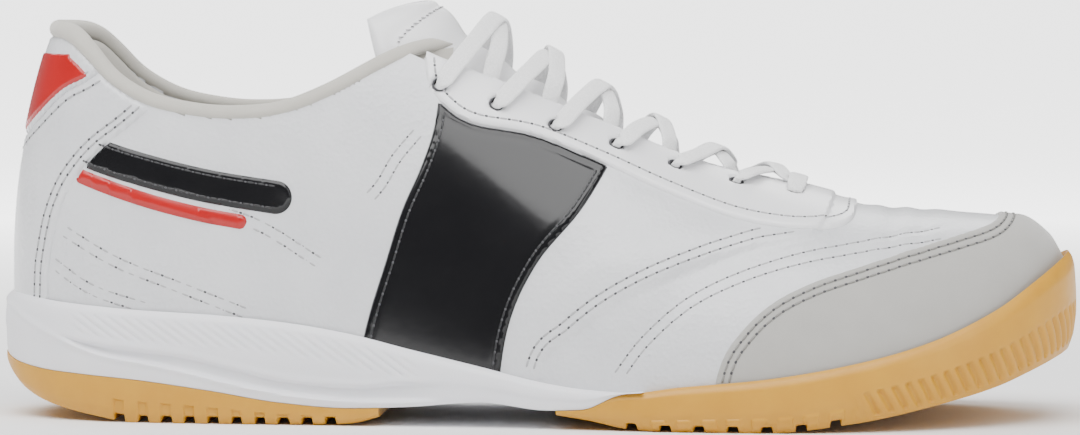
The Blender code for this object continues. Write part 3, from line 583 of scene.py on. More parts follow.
def panel(name, field, region, thick, finish, slot, *nodes, count, across, side=None, grooves=(), groove=0.0,
          base=relief):
    """A piece of leather on the skin wherever field(points) is positive.

    The net has count by across points over a region of the length, on one side or on both.
    Grooves lie at these depths inside the edge, and base is the height of what lies below.
    """
    turn, angle, sides = net(*region, count, across, side)
    value = field(form(turn, angle, sides))
    keep = sum(corners(value)) > 0
    used = np.zeros(value.shape, int)
    for a, b in ((0, 0), (1, 0), (1, 1), (0, 1)):
        used[a:used.shape[0] - 1 + a, b:used.shape[1] - 1 + b] += keep
    # Points at the border slide down the field's slope onto the outline.
    rim = (used > 0) & (used < 4) & (np.abs(value) < 2.5 * MM)
    for _ in range(4):
        t, a, s = turn[rim], angle[rim], sides[rim]
        here = field(form(t, a, s))
        by_turn = (field(form(t + EDGE_MOVE, a, s)) - here) / EDGE_MOVE
        by_angle = (field(form(t, a + EDGE_MOVE, s)) - here) / EDGE_MOVE
        scale = here / np.maximum(by_turn**2 + by_angle**2, 1e-9)
        turn[rim] = t - np.clip(scale * by_turn, -EDGE_LIMIT, EDGE_LIMIT)
        angle[rim] = np.maximum(a - np.clip(scale * by_angle, -EDGE_LIMIT, EDGE_LIMIT), 0)
    place = form(turn, angle, sides)
    inward = np.maximum(field(place), 0)
    ground = base(place)
    height = bar(inward, thick)
    for depth in grooves:
        height = height - groove * hump(inward - depth, GROOVE_ROUND)
    outward = normal(turn, angle, sides)
    top = place + outward * (ground + height + 0.02 * MM)[..., None]
    low = place + outward * (ground - 0.30 * MM)[..., None]
    return piece(name, *closed(top, low, keep), finish, slot, *nodes)


# %% [markdown]
# ## Stitches
# Thread shows as rows of short, half-sunk capsules, and between them a small dark capsule paints the
# shade in the needle hole. Each row is one seam line, walked at an even pitch. All stitches of a
# colour are one mesh: joined small things are light, and every one still casts its own shadow.

# %% Rows of thread
SEWN = {}
PITCH, CLOSE_PITCH = 3.0 * MM, 2.8 * MM
STITCH = (2.1 * MM, 0.62 * MM, 0.42 * MM)  # length, width, height
# painted shade: a small dark capsule stands for the shade in each needle hole
NEEDLE_HOLE_SHADE = (0.9 * MM, 0.68 * MM, 0.24 * MM)


def capsule():
    """Points and faces of a small rounded rod of unit length along X."""
    points = [(-0.5, 0, 0)]
    for x, radius in ((-0.36, 0.4), (0.0, 0.5), (0.36, 0.4)):
        bends = [k * math.pi / 3 for k in range(6)]
        points += [(x, radius * math.cos(bend), radius * math.sin(bend)) for bend in bends]
    points.append((0.5, 0, 0))
    faces = [[0, 1 + (k + 1) % 6, 1 + k] for k in range(6)]
    for ring in (1, 7):
        faces += [[ring + k, ring + (k + 1) % 6, ring + 6 + (k + 1) % 6, ring + 6 + k] for k in range(6)]
    faces += [[13 + k, 13 + (k + 1) % 6, 19] for k in range(6)]
    return np.array(points), faces


ROD, ROD_FACES = capsule()


def rods(key, centres, along, outward, length, wide, high):
    """Adds a rod at every centre to the pile of that colour."""
    along = unit(along - (along * outward).sum(-1, keepdims=True) * outward)
    across = np.cross(outward, along)
    points = (centres[:, None] + ROD[None, :, :1] * length * along[:, None]
              + ROD[None, :, 1:2] * wide * across[:, None] + ROD[None, :, 2:] * high * outward[:, None])
    SEWN.setdefault(key, []).append(points)


def sew_path(key, place, outward, pitch=PITCH):
    """Stitches along a path of points with its outward directions."""
    run = run_of(place)
    count = int(run[-1] / pitch)
    if count < 2:
        return

    def along_path(at, values):
        return np.stack([np.interp(at, run, values[:, k]) for k in range(3)], -1)

    # Between stitches a dark capsule paints the shade in the needle hole.
    piles = ((key, np.arange(count) + 0.5, STITCH), ("hole", np.arange(1, count), NEEDLE_HOLE_SHADE))
    for pile, steps, size in piles:
        at = steps * run[-1] / count
        ahead = along_path(at + 0.2 * pitch, place) - along_path(at - 0.2 * pitch, place)
        rods(pile, along_path(at, place), ahead, unit(along_path(at, outward)), *size)


def sew(key, turn, angle, side, out, **how):
    """Stitches along a path on the skin; out is the height of the leather there."""
    outward = normal(turn, angle, side)
    sew_path(key, form(turn, angle, side) + outward * np.asarray(out)[..., None], outward, **how)


def shifted(line, amount):
    """A side-view line moved square to itself, to the left of its run."""
    run = unit(np.gradient(line, axis=0))
    return line + amount * np.stack([-run[:, 1], run[:, 0]], -1)


def sew_side(key, line, lift, sides=(-1, 1), field=None, **how):
    """Stitches along a side-view line on the walls, where field allows."""
    for side in sides:
        turn, angle = from_side(line[:, 0], line[:, 1])
        place = form(turn, angle, np.full(len(turn), float(side)))
        good = np.ones(len(turn), bool) if field is None else field(place) > 0
        if good.sum() > 2:
            turn, angle, place = turn[good], angle[good], place[good]
            sew(key, turn, angle, np.full(len(turn), float(side)), relief(place) + lift, **how)


# %% [markdown]
# ## The upper
# One hollow shell of leather about 2 mm thick. It could be cut open with Booleans, but its edges
# are all covered: the collar by its rolled binding, the throat by the eyestay. So the fine net
# simply leaves out the squares above those lines, and keeps its even, smooth faces.

# %% Where the shell is open
THROAT_WIDEST, GAUGE_WIDEST = 17 * MM, 22 * MM
# along, share of the widest half distance
THROAT = ((0.41, 1.0), (0.445, 0.97), (0.50, 0.85), (0.56, 0.72), (0.62, 0.60), (0.68, 0.50), (0.73, 0.42),
          (0.758, 0.34), (0.772, 0.2), (0.776, 0.0))
GAUGE = ((0.412, 0.98), (0.465, 0.94), (0.52, 0.88), (0.577, 0.79), (0.632, 0.71), (0.69, 0.63),
         (0.745, 0.56))
EYELETS = [(along, GAUGE_WIDEST * share) for along, share in GAUGE]
THROAT_X = np.array([HEEL_X + LAST_LENGTH * along for along, _ in THROAT])
THROAT_HALF = np.array([THROAT_WIDEST * share for _, share in THROAT])
HOLES = []
for side in (-1.0, 1.0):
    for along, half in EYELETS:
        turn, angle = from_above(along, half, side)
        HOLES.append((turn, angle, side, form(turn, angle, side)))
HOLE_PLACES = np.array([place for _, _, _, place in HOLES])
HOLE_RADIUS = 1.7 * MM


def centre_y(x):
    """The form's axis, as y."""
    return BALL_WIDTH * shape(AXIS, np.clip((x - HEEL_X) / LAST_LENGTH, 0, 1)) + SHIFT_Y


def outside_throat(place):
    """Distance outside the throat's slot, seen from above."""
    x, y = place[..., 0], np.abs(place[..., 1] - centre_y(place[..., 0]))
    nose_x, nose_radius = THROAT_X[-4], THROAT_HALF[-4]
    nose = np.hypot(np.maximum(x - nose_x, 0), y) - nose_radius
    return np.where(x > nose_x, nose, y - np.interp(x, THROAT_X, THROAT_HALF))


def outside_holes(place, radius):
    return np.linalg.norm(place[..., None, :] - HOLE_PLACES, axis=-1).min(-1) - radius


def below_collar(place):
    """How far a place lies below the collar's line."""
    z_line = np.interp(place[..., 0], COLLAR_LINE[:, 0], COLLAR_LINE[:, 1], right=1.0)
    return z_line - place[..., 2]


# %% The shell
UPPER_INSIDE = 1.8 * MM
turn, angle, sides = net(0.0, 1.0, 330, 190)
place = form(turn, angle, sides)
over_instep = place[..., 2] > 45 * MM
open_here = (below_collar(place) < -0.85 * MM) | (outside_throat(place) < 1.2 * MM) & over_instep
open_here |= outside_holes(place, HOLE_RADIUS) < 0
outward = normal(turn, angle, sides)
shell = closed(place + outward * relief(place)[..., None], place - outward * UPPER_INSIDE,
               ~np.logical_or.reduce(corners(open_here)))
piece("upper_leather", *shell, pearl, "white_leather", "upper")

# %% [markdown]
# ## The overlays
# The eyestay carries the lace holes, the patent saddle grips the midfoot, the backstay holds the
# heel and the suede guard takes the knocks. Each is a thin leather with a rolled edge and one or
# two rows of stitching pressed into it.

# %% The eyestay
facing_side = within(FACING_LINE, (0.9, 0.7), (0.9, 1.4), (0.393, 1.4))


def inner_drop(x):
    """How much lower the facing's edge runs on the inner wall, to keep clear of the holes."""
    holes = HOLE_PLACES[len(EYELETS):]
    edge = np.interp(holes[:, 0], FACING_LINE[:, 0], FACING_LINE[:, 1])
    return np.interp(x, holes[:, 0], np.maximum(edge - holes[:, 2] + 7.5 * MM, 0))


def facing_edge(place):
    """Distance inside the facing's lower edge."""
    x = place[..., 0]
    inner = rise((place[..., 1] - centre_y(x)) / (10 * MM))
    return facing_side(x, place[..., 2] + inner_drop(x) * inner)


def facing_field(place):
    return np.minimum.reduce([facing_edge(place), outside_throat(place), below_collar(place) + 1.6 * MM,
                              outside_holes(place, HOLE_RADIUS + 0.05 * MM)])


panel("eyestay_leather", facing_field, (0.375, 0.83), 0.95 * MM, facing, "white_facing", "eyestay",
      count=200, across=280)

# %% The saddle
saddle_rear = within(SADDLE_LINE, (1.4, 0.80), (1.4, 0.0))
saddle_front = within(SADDLE_FRONT, (-0.4, 0.0), (-0.4, 0.80))


def saddle_field(place):
    x, z = place[..., 0], place[..., 2]
    return np.minimum.reduce([saddle_rear(x, z), saddle_front(x, z), -facing_edge(place) - 0.1 * MM])


SIDES = ((-1, "outer"), (1, "inner"))
SADDLE_ROW = 2.0 * MM
for side, word in SIDES:
    panel(f"saddle_{word}_patent", saddle_field, (0.28, 0.62), 0.75 * MM, patent, "black_patent",
          f"saddle_{word}", count=150, across=150, side=side, grooves=(SADDLE_ROW,), groove=0.16 * MM)

# %% Backstay and heel tab
UNDER_ROLL = 0.9 * MM  # below the collar's line, under its binding
STAY_THICK = 0.8 * MM
STAY_ROWS = (1.9 * MM, 3.6 * MM)
TAB_ROW = 1.7 * MM
stay_front = within(STAY_LINE, (0.155, 1.3), (-0.3, 1.3), (-0.3, 0.0))
under_tab = within(TAB_SEAM, (-0.03, -0.3), (0.4, -0.3), (0.4, 0.925))


def stay_field(place):
    x, z = place[..., 0], place[..., 2]
    return np.minimum.reduce([stay_front(x, z), under_tab(x, z), below_collar(place) - UNDER_ROLL])


def tab_field(place):
    x, z = place[..., 0], place[..., 2]
    return np.minimum.reduce([stay_front(x, z) + 0.2 * MM, -under_tab(x, z) - 0.1 * MM,
                              below_collar(place) - UNDER_ROLL])


panel("backstay_leather", stay_field, (0.0, 0.22), STAY_THICK, pearl, "white_leather", "backstay",
      count=110, across=300, grooves=STAY_ROWS, groove=0.14 * MM)
panel("heel_tab_leather", tab_field, (0.0, 0.20), STAY_THICK, pearl, "red_leather", "heel_tab",
      count=130, across=320, grooves=(TAB_ROW,), groove=0.12 * MM)

# %% The red patch on the tab
# share of the instep height, share of the length where the patch ends
PATCH_FRONT = ((0.66, 0.018), (0.72, 0.024), (0.80, 0.053), (0.855, 0.084), (0.885, 0.073), (0.905, 0.064))
PATCH_TOP = 0.912


def patch_field(place):
    x, z = place[..., 0], place[..., 2]
    along, up = (x - HEEL_X) / LAST_LENGTH, z / INSTEP_HEIGHT
    front = np.interp(up, *zip(*PATCH_FRONT))
    # The front edge slants, so the distance to it is about 0.75 of the distance along.
    return np.minimum.reduce([(front - along) * LAST_LENGTH * 0.75, (PATCH_TOP - up) * INSTEP_HEIGHT,
                              -under_tab(x, z) - 0.9 * MM])


panel("heel_patch_red", patch_field, (0.0, 0.11), 0.45 * MM, red_hide, "red_leather", count=150, across=560,
      base=lambda place: relief(place) + STAY_THICK)

# %% [markdown]
# Two short plain bars lie on the rear of the quarter, a black one over a thinner red one. Each is
# the band within half its width of a side-view line, so one distance makes the whole outline.

# %% Bars on the quarter
BARS = (
    ("bar_black", side_line((0.060, 0.700), (0.094, 0.662), (0.145, 0.622), (0.20, 0.588), (0.262, 0.562)),
     4.3 * MM, patent, "black_patent"),
    ("bar_red", side_line((0.050, 0.640), (0.088, 0.598), (0.14, 0.553), (0.19, 0.520), (0.228, 0.502)),
     1.9 * MM, red_hide, "red_leather"),
)
for name, line, half, finish, slot in BARS:
    def bar_field(place, line=line, half=half):
        x, z = place[..., 0], place[..., 2]
        return np.minimum(half - away(line, x, z), -stay_front(x, z) - 0.3 * MM)

    for side, word in SIDES:
        panel(f"{name}_{word}", bar_field, (0.05, 0.29), 0.55 * MM, finish, slot,
              count=170, across=190, side=side)

# %% The toe guard
GUARD_ROWS = (1.7 * MM, 3.4 * MM)
guard_side = within(GUARD_LINE, (1.4, 0.56), (1.4, 0.0))


def guard_field(place):
    return guard_side(place[..., 0], place[..., 2])


panel("toe_guard_suede", guard_field, (0.655, 1.0), 0.95 * MM, suede, "grey_suede", "toe_guard",
      count=150, across=190, grooves=GUARD_ROWS, groove=0.24 * MM)

# %% [markdown]
# ## The sole
# The side of the sole is one tall wall. Its profile swells, dips into a valley and flares at the
# ground, and the line of that dip swoops down from the heel to the arch. A signed height over the
# wall, smooth along the shoe, gives all of it, so foam and rubber are fine lofts and the
# scallops, ribs and lugs are pressed into them by the same kind of functions as the seams.

# %% Sole rows
# along, tread underneath and joint of foam and rubber by the heel's stack, upper edge by the rim's height
SOLE_ROWS = tuple((a, b * HEEL_STACK, c * HEEL_STACK, d * RIM_HEIGHT) for a, b, c, d in (
    (0.00, 0.62, 0.72, 1.00), (0.02, 0.34, 0.63, 0.985), (0.05, 0.18, 0.57, 0.95),
    (0.09, 0.07, 0.53, 0.92), (0.13, 0.00, 0.49, 0.895), (0.20, 0.00, 0.38, 0.865),
    (0.27, 0.00, 0.25, 0.81), (0.33, 0.02, 0.20, 0.73), (0.39, 0.20, 0.225, 0.61),
    (0.46, 0.28, 0.29, 0.475), (0.52, 0.18, 0.215, 0.36), (0.56, 0.11, 0.235, 0.315),
    (0.60, 0.02, 0.38, 0.30), (0.64, 0.00, 0.45, 0.345), (0.72, 0.00, 0.45, 0.415),
    (0.80, 0.10, 0.45, 0.53), (0.87, 0.27, 0.50, 0.69), (0.93, 0.46, 0.60, 0.92),
    (0.97, 0.65, 0.80, 1.15), (1.00, 0.80, 1.00, 1.333)))
UNDER, PART, RIM = (column(SOLE_ROWS, k) for k in (1, 2, 3))


def level(which, along):
    """The height of one of these three lines along the shoe."""
    return np.interp(along, ALONG, which)


def rim_line(turn, side, z, out):
    """The plan outline of the form's edge, moved out in plan and set at a height."""
    flat = unit(normal(turn, 0.0, side) * (1, 1, 0))
    place = form(turn, 0.0, side) + flat * np.asarray(out)[..., None]
    place[..., 2] = z
    return place


LIP, FLARE = 1.6 * MM, 3.9 * MM  # how far the wall stands out at least and at most
print("sole rows:", len(SOLE_ROWS))


# %% A fine loft of a sole layer
BELLY_POINTS = 26


def sole_piece(name, first, last, count, rows, low, high, profile, finish, slot, node):
    """A layer of the sole between two shares of the length, count by rows points on each wall.

    low and high are its lines along the shoe. profile(along, up, x, z) says how far the wall stands
    out and how far its points rise.
    """
    turns = np.linspace(turn_of(first), turn_of(last), count)
    up = np.linspace(0, 1, rows)
    sheets = []
    for side in (-1.0, 1.0):
        turn, share = (np.array(a) for a in np.broadcast_arrays(turns[:, None], up[None]))
        along = (1 - np.cos(turn)) / 2
        bottom, top = level(low, along), level(high, along)
        z = bottom + (top - bottom) * share
        middle = rim_line(turn, side, z, 0.0)
        out, drop = profile(along, share, middle[..., 0], z)
        sheets.append(rim_line(turn, side, z + drop, out))
    left, right = sheets
    # The top dips inside the rim, so that the insole stays in sight.
    inner = []
    for side in (-1.0, 1.0):
        seat = rim_line(turns, side, 0.0, -1.2 * MM)
        floor = form(turns, 0.0, side)[:, 2] - 0.6 * MM
        seat[:, 2] = np.minimum(floor, level(high, (1 - np.cos(turns)) / 2) - 0.2 * MM)
        inner.append(seat[:, None])
    ring = np.concatenate([left, *inner, right[:, ::-1]], axis=1)
    # The underside is a net across the shoe, so that it can carry treads.
    share = np.linspace(0, 1, BELLY_POINTS + 2)[None, 1:-1, None]
    belly = right[:, :1] * (1 - share) + left[:, :1] * share
    ring = np.concatenate([ring, belly], axis=1)
    first_ring, last_ring, faces = tube(ring)
    # An end at the heel's or the toe's tip has no width and needs no cap.
    for end, numbers in ((0, first_ring), (-1, last_ring[::-1])):
        if np.linalg.norm(ring[end, 0] - ring[end, 2 * rows + 1]) > 0.01 * MM:
            faces.append(numbers.tolist())
    piece(name, ring, faces, finish, slot, node, sharp=40)


# %% [markdown]
# The foam's wall: a soft upper edge, a ridge that swoops down from the heel, a scalloped valley
# behind it and short slanted grooves pressed into the band above.

# %% The wall's own lines
# along, height in millimetres: the ridge, and the valley's upper edge above it
SWOOP = ((0.0, 31), (0.0117, 29.2), (0.028, 26.3), (0.0537, 22.5), (0.0787, 19.3), (0.104, 17.2),
         (0.14, 15.5), (0.18, 13.3), (0.22, 10.6), (0.28, 7.6), (0.345, 6.2), (0.42, 6.6))
SCALLOP = ((0.0, 31), (0.0117, 29.2), (0.028, 26.5), (0.0537, 23.4), (0.0865, 20.9), (0.14, 19.0),
           (0.173, 18.0), (0.22, 15.0), (0.279, 11.6), (0.345, 10.4), (0.385, 11.4), (0.43, 11.0))
# share of the layer's height, how far the wall stands out between LIP and FLARE
FOAM_WALL = ((0.0, 0.74), (0.12, 0.84), (0.34, 0.90), (0.52, 1.0), (0.78, 0.86), (0.93, 0.52), (1.0, 0.0))
RUBBER_WALL = ((0.0, 0.20), (0.14, 0.55), (0.32, 0.80), (0.66, 0.88), (1.0, 0.86))
CUP_WALL = ((0.0, 0.10), (0.16, 0.70), (0.42, 1.0), (0.82, 0.78), (0.94, 0.45), (1.0, 0.0))
JOINT = PART + (RIM - PART) * rise((ALONG - 0.552) / 0.062)


def wall(rows, up):
    fine = np.linspace(0, 1, 401)
    return LIP + (FLARE - LIP) * np.interp(up, fine, smooth_column(*zip(*rows), fine))


def line_at(rows, along):
    return MM * smooth_column(*zip(*rows), along)


def between(value, first, last, soft):
    """1 between two values, falling to 0 within this distance inside each."""
    return rise((value - first) / soft) * rise((last - value) / soft)


def repeats(run, pitch):
    """The distance to the nearest of marks at an even pitch."""
    return np.abs(run / pitch - np.round(run / pitch)) * pitch


def foam_profile(along, up, x, z):
    ridge, valley, top = line_at(SWOOP, along), line_at(SCALLOP, along), level(RIM, along)
    here = rise((0.43 - along) / 0.05)
    dip = rise((z - ridge) / (1.5 * MM)) * rise((valley - z) / (1.1 * MM) + 0.3) * here
    out = wall(FOAM_WALL, up) - 1.15 * MM * dip * rise((along - 0.04) / 0.05)
    out = out + 0.45 * MM * hump(z - ridge, 0.9 * MM) * here
    out = out + 0.25 * MM * hump(z - valley - 0.7 * MM, 0.8 * MM) * here * rise((along - 0.05) / 0.04)
    # Slanted grooves in the band between the valley and the rim.
    cut = hump(repeats(x + z / 0.70, 3.2 * MM), 0.42 * MM)
    band = between(z, np.maximum(valley + 1.6 * MM, top - 8.6 * MM), top - 1.9 * MM, 0.9 * MM)
    return out - 0.34 * MM * cut * band * between(along, 0.062, 0.405, 0.02), 0.0


sole_piece("midsole_foam", 0.0, 0.611, 560, 44, JOINT + 0.12 * MM, RIM, foam_profile, foam, "white_foam",
           "midsole")

# %% [markdown]
# Both outsoles are gum rubber. Slots run across their treads and show at the edge as notches, the
# toe carries slanted ribs and the ball of the foot has rows of dash lugs along the ground.

# %% Rubber walls
RIM_TURNS = np.linspace(0, math.pi, 900)
RIM_RUN = run_of(form(RIM_TURNS, 0.0, -1.0))
NOTCH_WIDE = 2.6 * MM


def notches(x, first, last, pitch):
    """1 in the tread's slots between two shares of the length."""
    start, end = HEEL_X + first * LAST_LENGTH, HEEL_X + last * LAST_LENGTH
    slot = rise((NOTCH_WIDE / 2 - repeats(x - start, pitch)) / (0.35 * MM) + 0.5)
    return slot * (x > start - NOTCH_WIDE) * (x < end)


def heel_profile(along, up, x, z):
    slot = notches(x, 0.115, 0.325, 6.2 * MM)
    drop = 1.8 * MM * slot * rise((2.4 * MM - (z - level(UNDER, along))) / (2.2 * MM))
    return wall(RUBBER_WALL, up) - 0.5 * MM * slot * (up < 0.5), drop


def front_profile(along, up, x, z):
    low, top = level(UNDER, along), level(JOINT, along)
    out = wall(RUBBER_WALL, up) + (wall(CUP_WALL, up) - wall(RUBBER_WALL, up)) * rise((along - 0.56) / 0.06)
    # Ribs on the toe: they are counted along the wall, so they stay even round the tip.
    run = np.interp(turn_of(along), RIM_TURNS, RIM_RUN)
    share = (z - low) / np.maximum(top - low, 0.001 * MM)
    cut = hump(repeats(run + (z - low) * 0.55, 3.6 * MM), 0.8 * MM)
    out = out - 1.05 * MM * cut * between(share, 0.07, 0.52, 0.05) * rise((along - 0.80) / 0.02)
    # Dash lugs along the ground.
    lug = rise((1.984 * MM - repeats(run, 6.4 * MM)) / (0.32 * MM))
    out = out + 0.45 * MM * lug * between(share, 0.05, 0.30, 0.05) * between(along, 0.60, 0.815, 0.02)
    slot = notches(x, 0.60, 0.80, 8.6 * MM)
    drop = 1.6 * MM * slot * rise((2.0 * MM - (z - low)) / (1.9 * MM))
    return out - 0.4 * MM * slot * (share < 0.16), drop


sole_piece("outsole_heel_rubber", 0.0, 0.362, 320, 26, UNDER, PART, heel_profile, gum, "gum_rubber",
           "outsole_heel")
sole_piece("outsole_front_rubber", 0.53, 1.0, 600, 42, UNDER, JOINT, front_profile, gum, "gum_rubber",
           "outsole_front")

# %% [markdown]
# ## Collar, lining and tongue
# The collar's edge is a soft roll of brushed textile over foam. Below it the lining is padded,
# most of all round the heel. The roll is a tube swept along the collar's edge, and the lining is a
# net on the inside of the shell, swollen by the foam and seamed to the leather below.

# %% The collar's edge as a path, and tubes along paths
def collar_path(count):
    """(turn, angle, side) evenly spaced from the outer end of the collar round the heel to the inner end."""
    run = run_of(COLLAR_LINE)
    # Squared steps, because the line turns sharply at the heel when it is seen from above.
    at = np.linspace(0, 1, 3000) ** 2 * run[-1]
    turn, angle = from_side(np.interp(at, run, COLLAR_LINE[:, 0]), np.interp(at, run, COLLAR_LINE[:, 1]))
    signed = np.concatenate([-turn[::-1], turn])
    both = np.concatenate([angle[::-1], angle])
    place = form(np.abs(signed), both, np.where(signed > 0, 1.0, -1.0))
    length = run_of(place)
    even = np.linspace(0, length[-1], count)
    signed, both = np.interp(even, length, signed), np.interp(even, length, both)
    return np.abs(signed), both, np.where(signed > 0, 1.0, -1.0)


def fair(points, times):
    """Smooths a path of points, ends kept."""
    for _ in range(times):
        points = np.vstack([points[:1], (points[:-2] + 2 * points[1:-1] + points[2:]) / 4, points[-1:]])
    return points


def framed(path, outward):
    """(outward, across): the two directions square to a path."""
    run = unit(np.gradient(path, axis=0))
    outward = unit(outward - (outward * run).sum(-1, keepdims=True) * run)
    return outward, np.cross(run, outward)


def round_section(count, square=1.0, flat=1.0):
    """Points round a circle; powers below 1 make it squarer."""
    turns = np.linspace(0, 2 * math.pi, count, endpoint=False)
    c, s = np.cos(turns), np.sin(turns)
    return np.stack([np.sign(c) * np.abs(c) ** square, np.sign(s) * np.abs(s) ** flat], -1)


def swept(path, first, second, section):
    """Rings of points along a path: section's two columns go along two directions."""
    return (path[:, None] + section[None, :, :1] * first[:, None] + section[None, :, 1:] * second[:, None])


# %% The rolled binding
ROLL_POINTS = 420


def to_end(count):
    """How many points away the nearer end of a path is."""
    return np.minimum(np.arange(count), np.arange(count)[::-1])


turn, angle, sides = collar_path(ROLL_POINTS)
edge = form(turn, angle, sides)
outward = normal(turn, angle, sides)
sunk = 0.35 * MM + 3.0 * MM * (1 - rise(to_end(ROLL_POINTS) / 34))
path = fair(edge - outward * sunk[:, None] + np.array([0, 0, 1.2 * MM]), 6)
heel_share = rise((0.115 - (edge[:, 0] - HEEL_X) / LAST_LENGTH) / 0.06)
ends = rise(to_end(ROLL_POINTS) / 16 + 0.25)
thick, tall = (1.9 + 0.8 * heel_share) * MM * ends, (2.0 + 0.5 * heel_share) * MM * ends
outward, upward = framed(path, fair(outward, 6))
rings = swept(path, outward * thick[:, None], upward * tall[:, None], round_section(18))
piece("collar_roll", *capped(rings), textile, "collar_textile", "collar_binding", sharp=80)


# %% The padded lining
def angle_at(turn, z):
    """The angle at which the wall of this turn reaches a height."""
    along = (1 - np.cos(turn)) / 2
    floor, ridge = HEEL_STACK * shape(FLOOR, along), INSTEP_HEIGHT * shape(RIDGE, along)
    return np.arcsin(np.clip((z - floor) / (ridge - floor), 0, 1) ** (shape(FULL, along) / 2))


def lining_net(count, depth_rows):
    """Points inside the shell, from under the binding down, swollen by foam, and their outward directions."""
    turn, angle, sides = collar_path(count)
    edge = form(turn, angle, sides)
    along = (edge[:, 0] - HEEL_X) / LAST_LENGTH
    rows, outs = [], []
    for share in np.linspace(0, 1, depth_rows):
        deep = (26 + 16 * rise((0.16 - along) / 0.1)) * MM * share
        lower = angle_at(turn, edge[:, 2] - 0.6 * MM - deep)
        foam_here = np.sin(math.pi * np.clip(share * 0.94 + 0.06, 0, 1)) ** 0.8
        swell = (2.6 + 3.4 * rise((0.14 - along) / 0.09)) * MM * foam_here
        outs.append(normal(turn, lower, sides))
        rows.append(form(turn, lower, sides) - outs[-1] * (2.1 * MM + swell)[:, None])
    return np.array(rows), np.array(outs)


inside_rows, inside_out = lining_net(260, 26)
for _ in range(3):
    inside_rows[:, 1:-1] = (inside_rows[:, :-2] + 2 * inside_rows[:, 1:-1] + inside_rows[:, 2:]) / 4
lining = piece("collar_lining", *closed(inside_rows, inside_rows + inside_out * 0.7 * MM), textile,
               "collar_textile", sharp=80)

# %% [markdown]
# The tongue is a soft strip of leather over foam that follows the throat from the vamp to its
# free tip. Its middle bulges between the lace crossings, and a row of stitches runs inside its
# edge. The insole lies on the floor of the hollow, with a dished heel.

# %% The tongue
TONGUE_START, TONGUE_END = 0.72, 0.352


def tongue_place(share, across):
    """Top surface of the tongue: share runs from toe to tip, across from -1 to 1."""
    share, across = np.broadcast_arrays(np.asarray(share, float), np.asarray(across, float))
    centre = TONGUE_START + (TONGUE_END - TONGUE_START) * share
    free = np.maximum(share - 0.80, 0) / 0.20
    half = 17 * MM + 9 * MM * share
    tip = np.clip((share - 0.90) / 0.10, 0, 1)
    half = half * np.sqrt(1 - 0.55 * tip**2.2)
    along = centre + 0.040 * (0.2 + 0.8 * share) - 0.062 * share * across**2
    side = np.where(across < 0, -1.0, 1.0)
    turn, angle = from_above(along, np.abs(across) * half, side)
    place, outward = form(turn, angle, side), normal(turn, angle, side)
    sunk = 4.8 * MM - 1.6 * MM * (1 - across**2) * (1 - free)
    place = place - outward * sunk[..., None]
    lift = 5.2 * MM * free**1.2 + 1.8 * MM * free
    place[..., 2] += lift * (1 - 0.35 * across**4)
    place[..., 0] += 4.0 * MM * free**1.5
    return place


tongue_share, tongue_across = np.linspace(0, 1, 190), np.linspace(-1, 1, 90)
top = tongue_place(tongue_share[:, None], tongue_across[None])
run_along, run_across = np.gradient(top, axis=0), np.gradient(top, axis=1)
tongue_up = unit(np.cross(run_across, run_along))
tongue_up *= np.sign(tongue_up[..., 2:])
waves = np.cos(2 * math.pi * (tongue_share[:, None] - 0.06) / 0.145)
puffs = 0.55 * MM * waves * (1 - tongue_across[None] ** 2) ** 2
border = np.minimum((1 - np.abs(tongue_across[None])) * 24 * MM, (1 - tongue_share[:, None]) * 100 * MM)
rolled = bar(border, 1.6 * MM, 2.2 * MM) - 0.35 * MM * hump(border - 3.0 * MM, 0.8 * MM)
thick = bar(border, 2.6 * MM, 2.6 * MM)
tongue = piece("tongue_leather", *closed(top + tongue_up * (rolled - 1.6 * MM + puffs)[..., None],
                                         top - tongue_up * (1.6 * MM + thick * 0.55)[..., None]),
               tongue_hide, "white_leather", "tongue", sharp=70)
EDGE_POINTS, TIP_POINTS = 260, 160
up_edge, on_edge = np.linspace(0.55, 0.955, EDGE_POINTS), np.full(EDGE_POINTS, 0.855)
edge_share = np.concatenate([up_edge, np.full(TIP_POINTS, 0.962), up_edge[::-1]])
edge_across = np.concatenate([-on_edge, np.linspace(-0.84, 0.84, TIP_POINTS), on_edge])
stitch_path = fair(tongue_place(edge_share, edge_across), 12)
print("tongue stitch path:", len(stitch_path), "points")

# %% The insole
turns = np.linspace(turn_of(0.004), turn_of(0.985), 110)
across = np.linspace(-1, 1, 44)
turn, walk = (np.array(a) for a in np.broadcast_arrays(turns[:, None], across[None]))
left, right = (rim_line(turns, side, 0.0, -2.4 * MM) for side in (-1.0, 1.0))
flat = left[:, None] * (1 - walk[..., None]) / 2 + right[:, None] * (1 + walk[..., None]) / 2
along = (1 - np.cos(turn)) / 2
dish = 2.2 * MM * np.abs(walk) ** 3 * rise((0.5 - along) / 0.3) + 0.8 * MM * np.abs(walk) ** 4
flat[..., 2] = HEEL_STACK * shape(FLOOR, along) + 3.6 * MM + dish
low = flat - np.array([0, 0, 3.2 * MM])
piece("insole_cloth", *closed(flat, low), inner_cloth, "collar_textile", "insole")

# %% [markdown]
# ## The lace
# One flat woven cord. A strand comes up through an eyelet, arches over the tongue and dives under
# the opposite facing beside the next eyelet, where it turns to come up again. Each crossing is
# a pair of such strands, one lying over the other, and a bar joins the two front eyelets.

# %% A strand
LACE_WIDTH, LACE_THICK = 5.0 * MM, 1.15 * MM
LACE_STEPS = 14
FACING_TOP = 1.55 * MM


def lace_path(stops):
    """(path, outward) through stops of (along, y, out); y is from the axis, negative on the outer side."""
    places, outs = [], []
    for along, y, out in stops:
        side = -1.0 if y < 0 else 1.0
        turn, angle = from_above(along, abs(y), side)
        outs.append(normal(turn, angle, side))
        places.append(form(turn, angle, side) + outs[-1] * out)
    return through(places, LACE_STEPS), through(outs, LACE_STEPS)


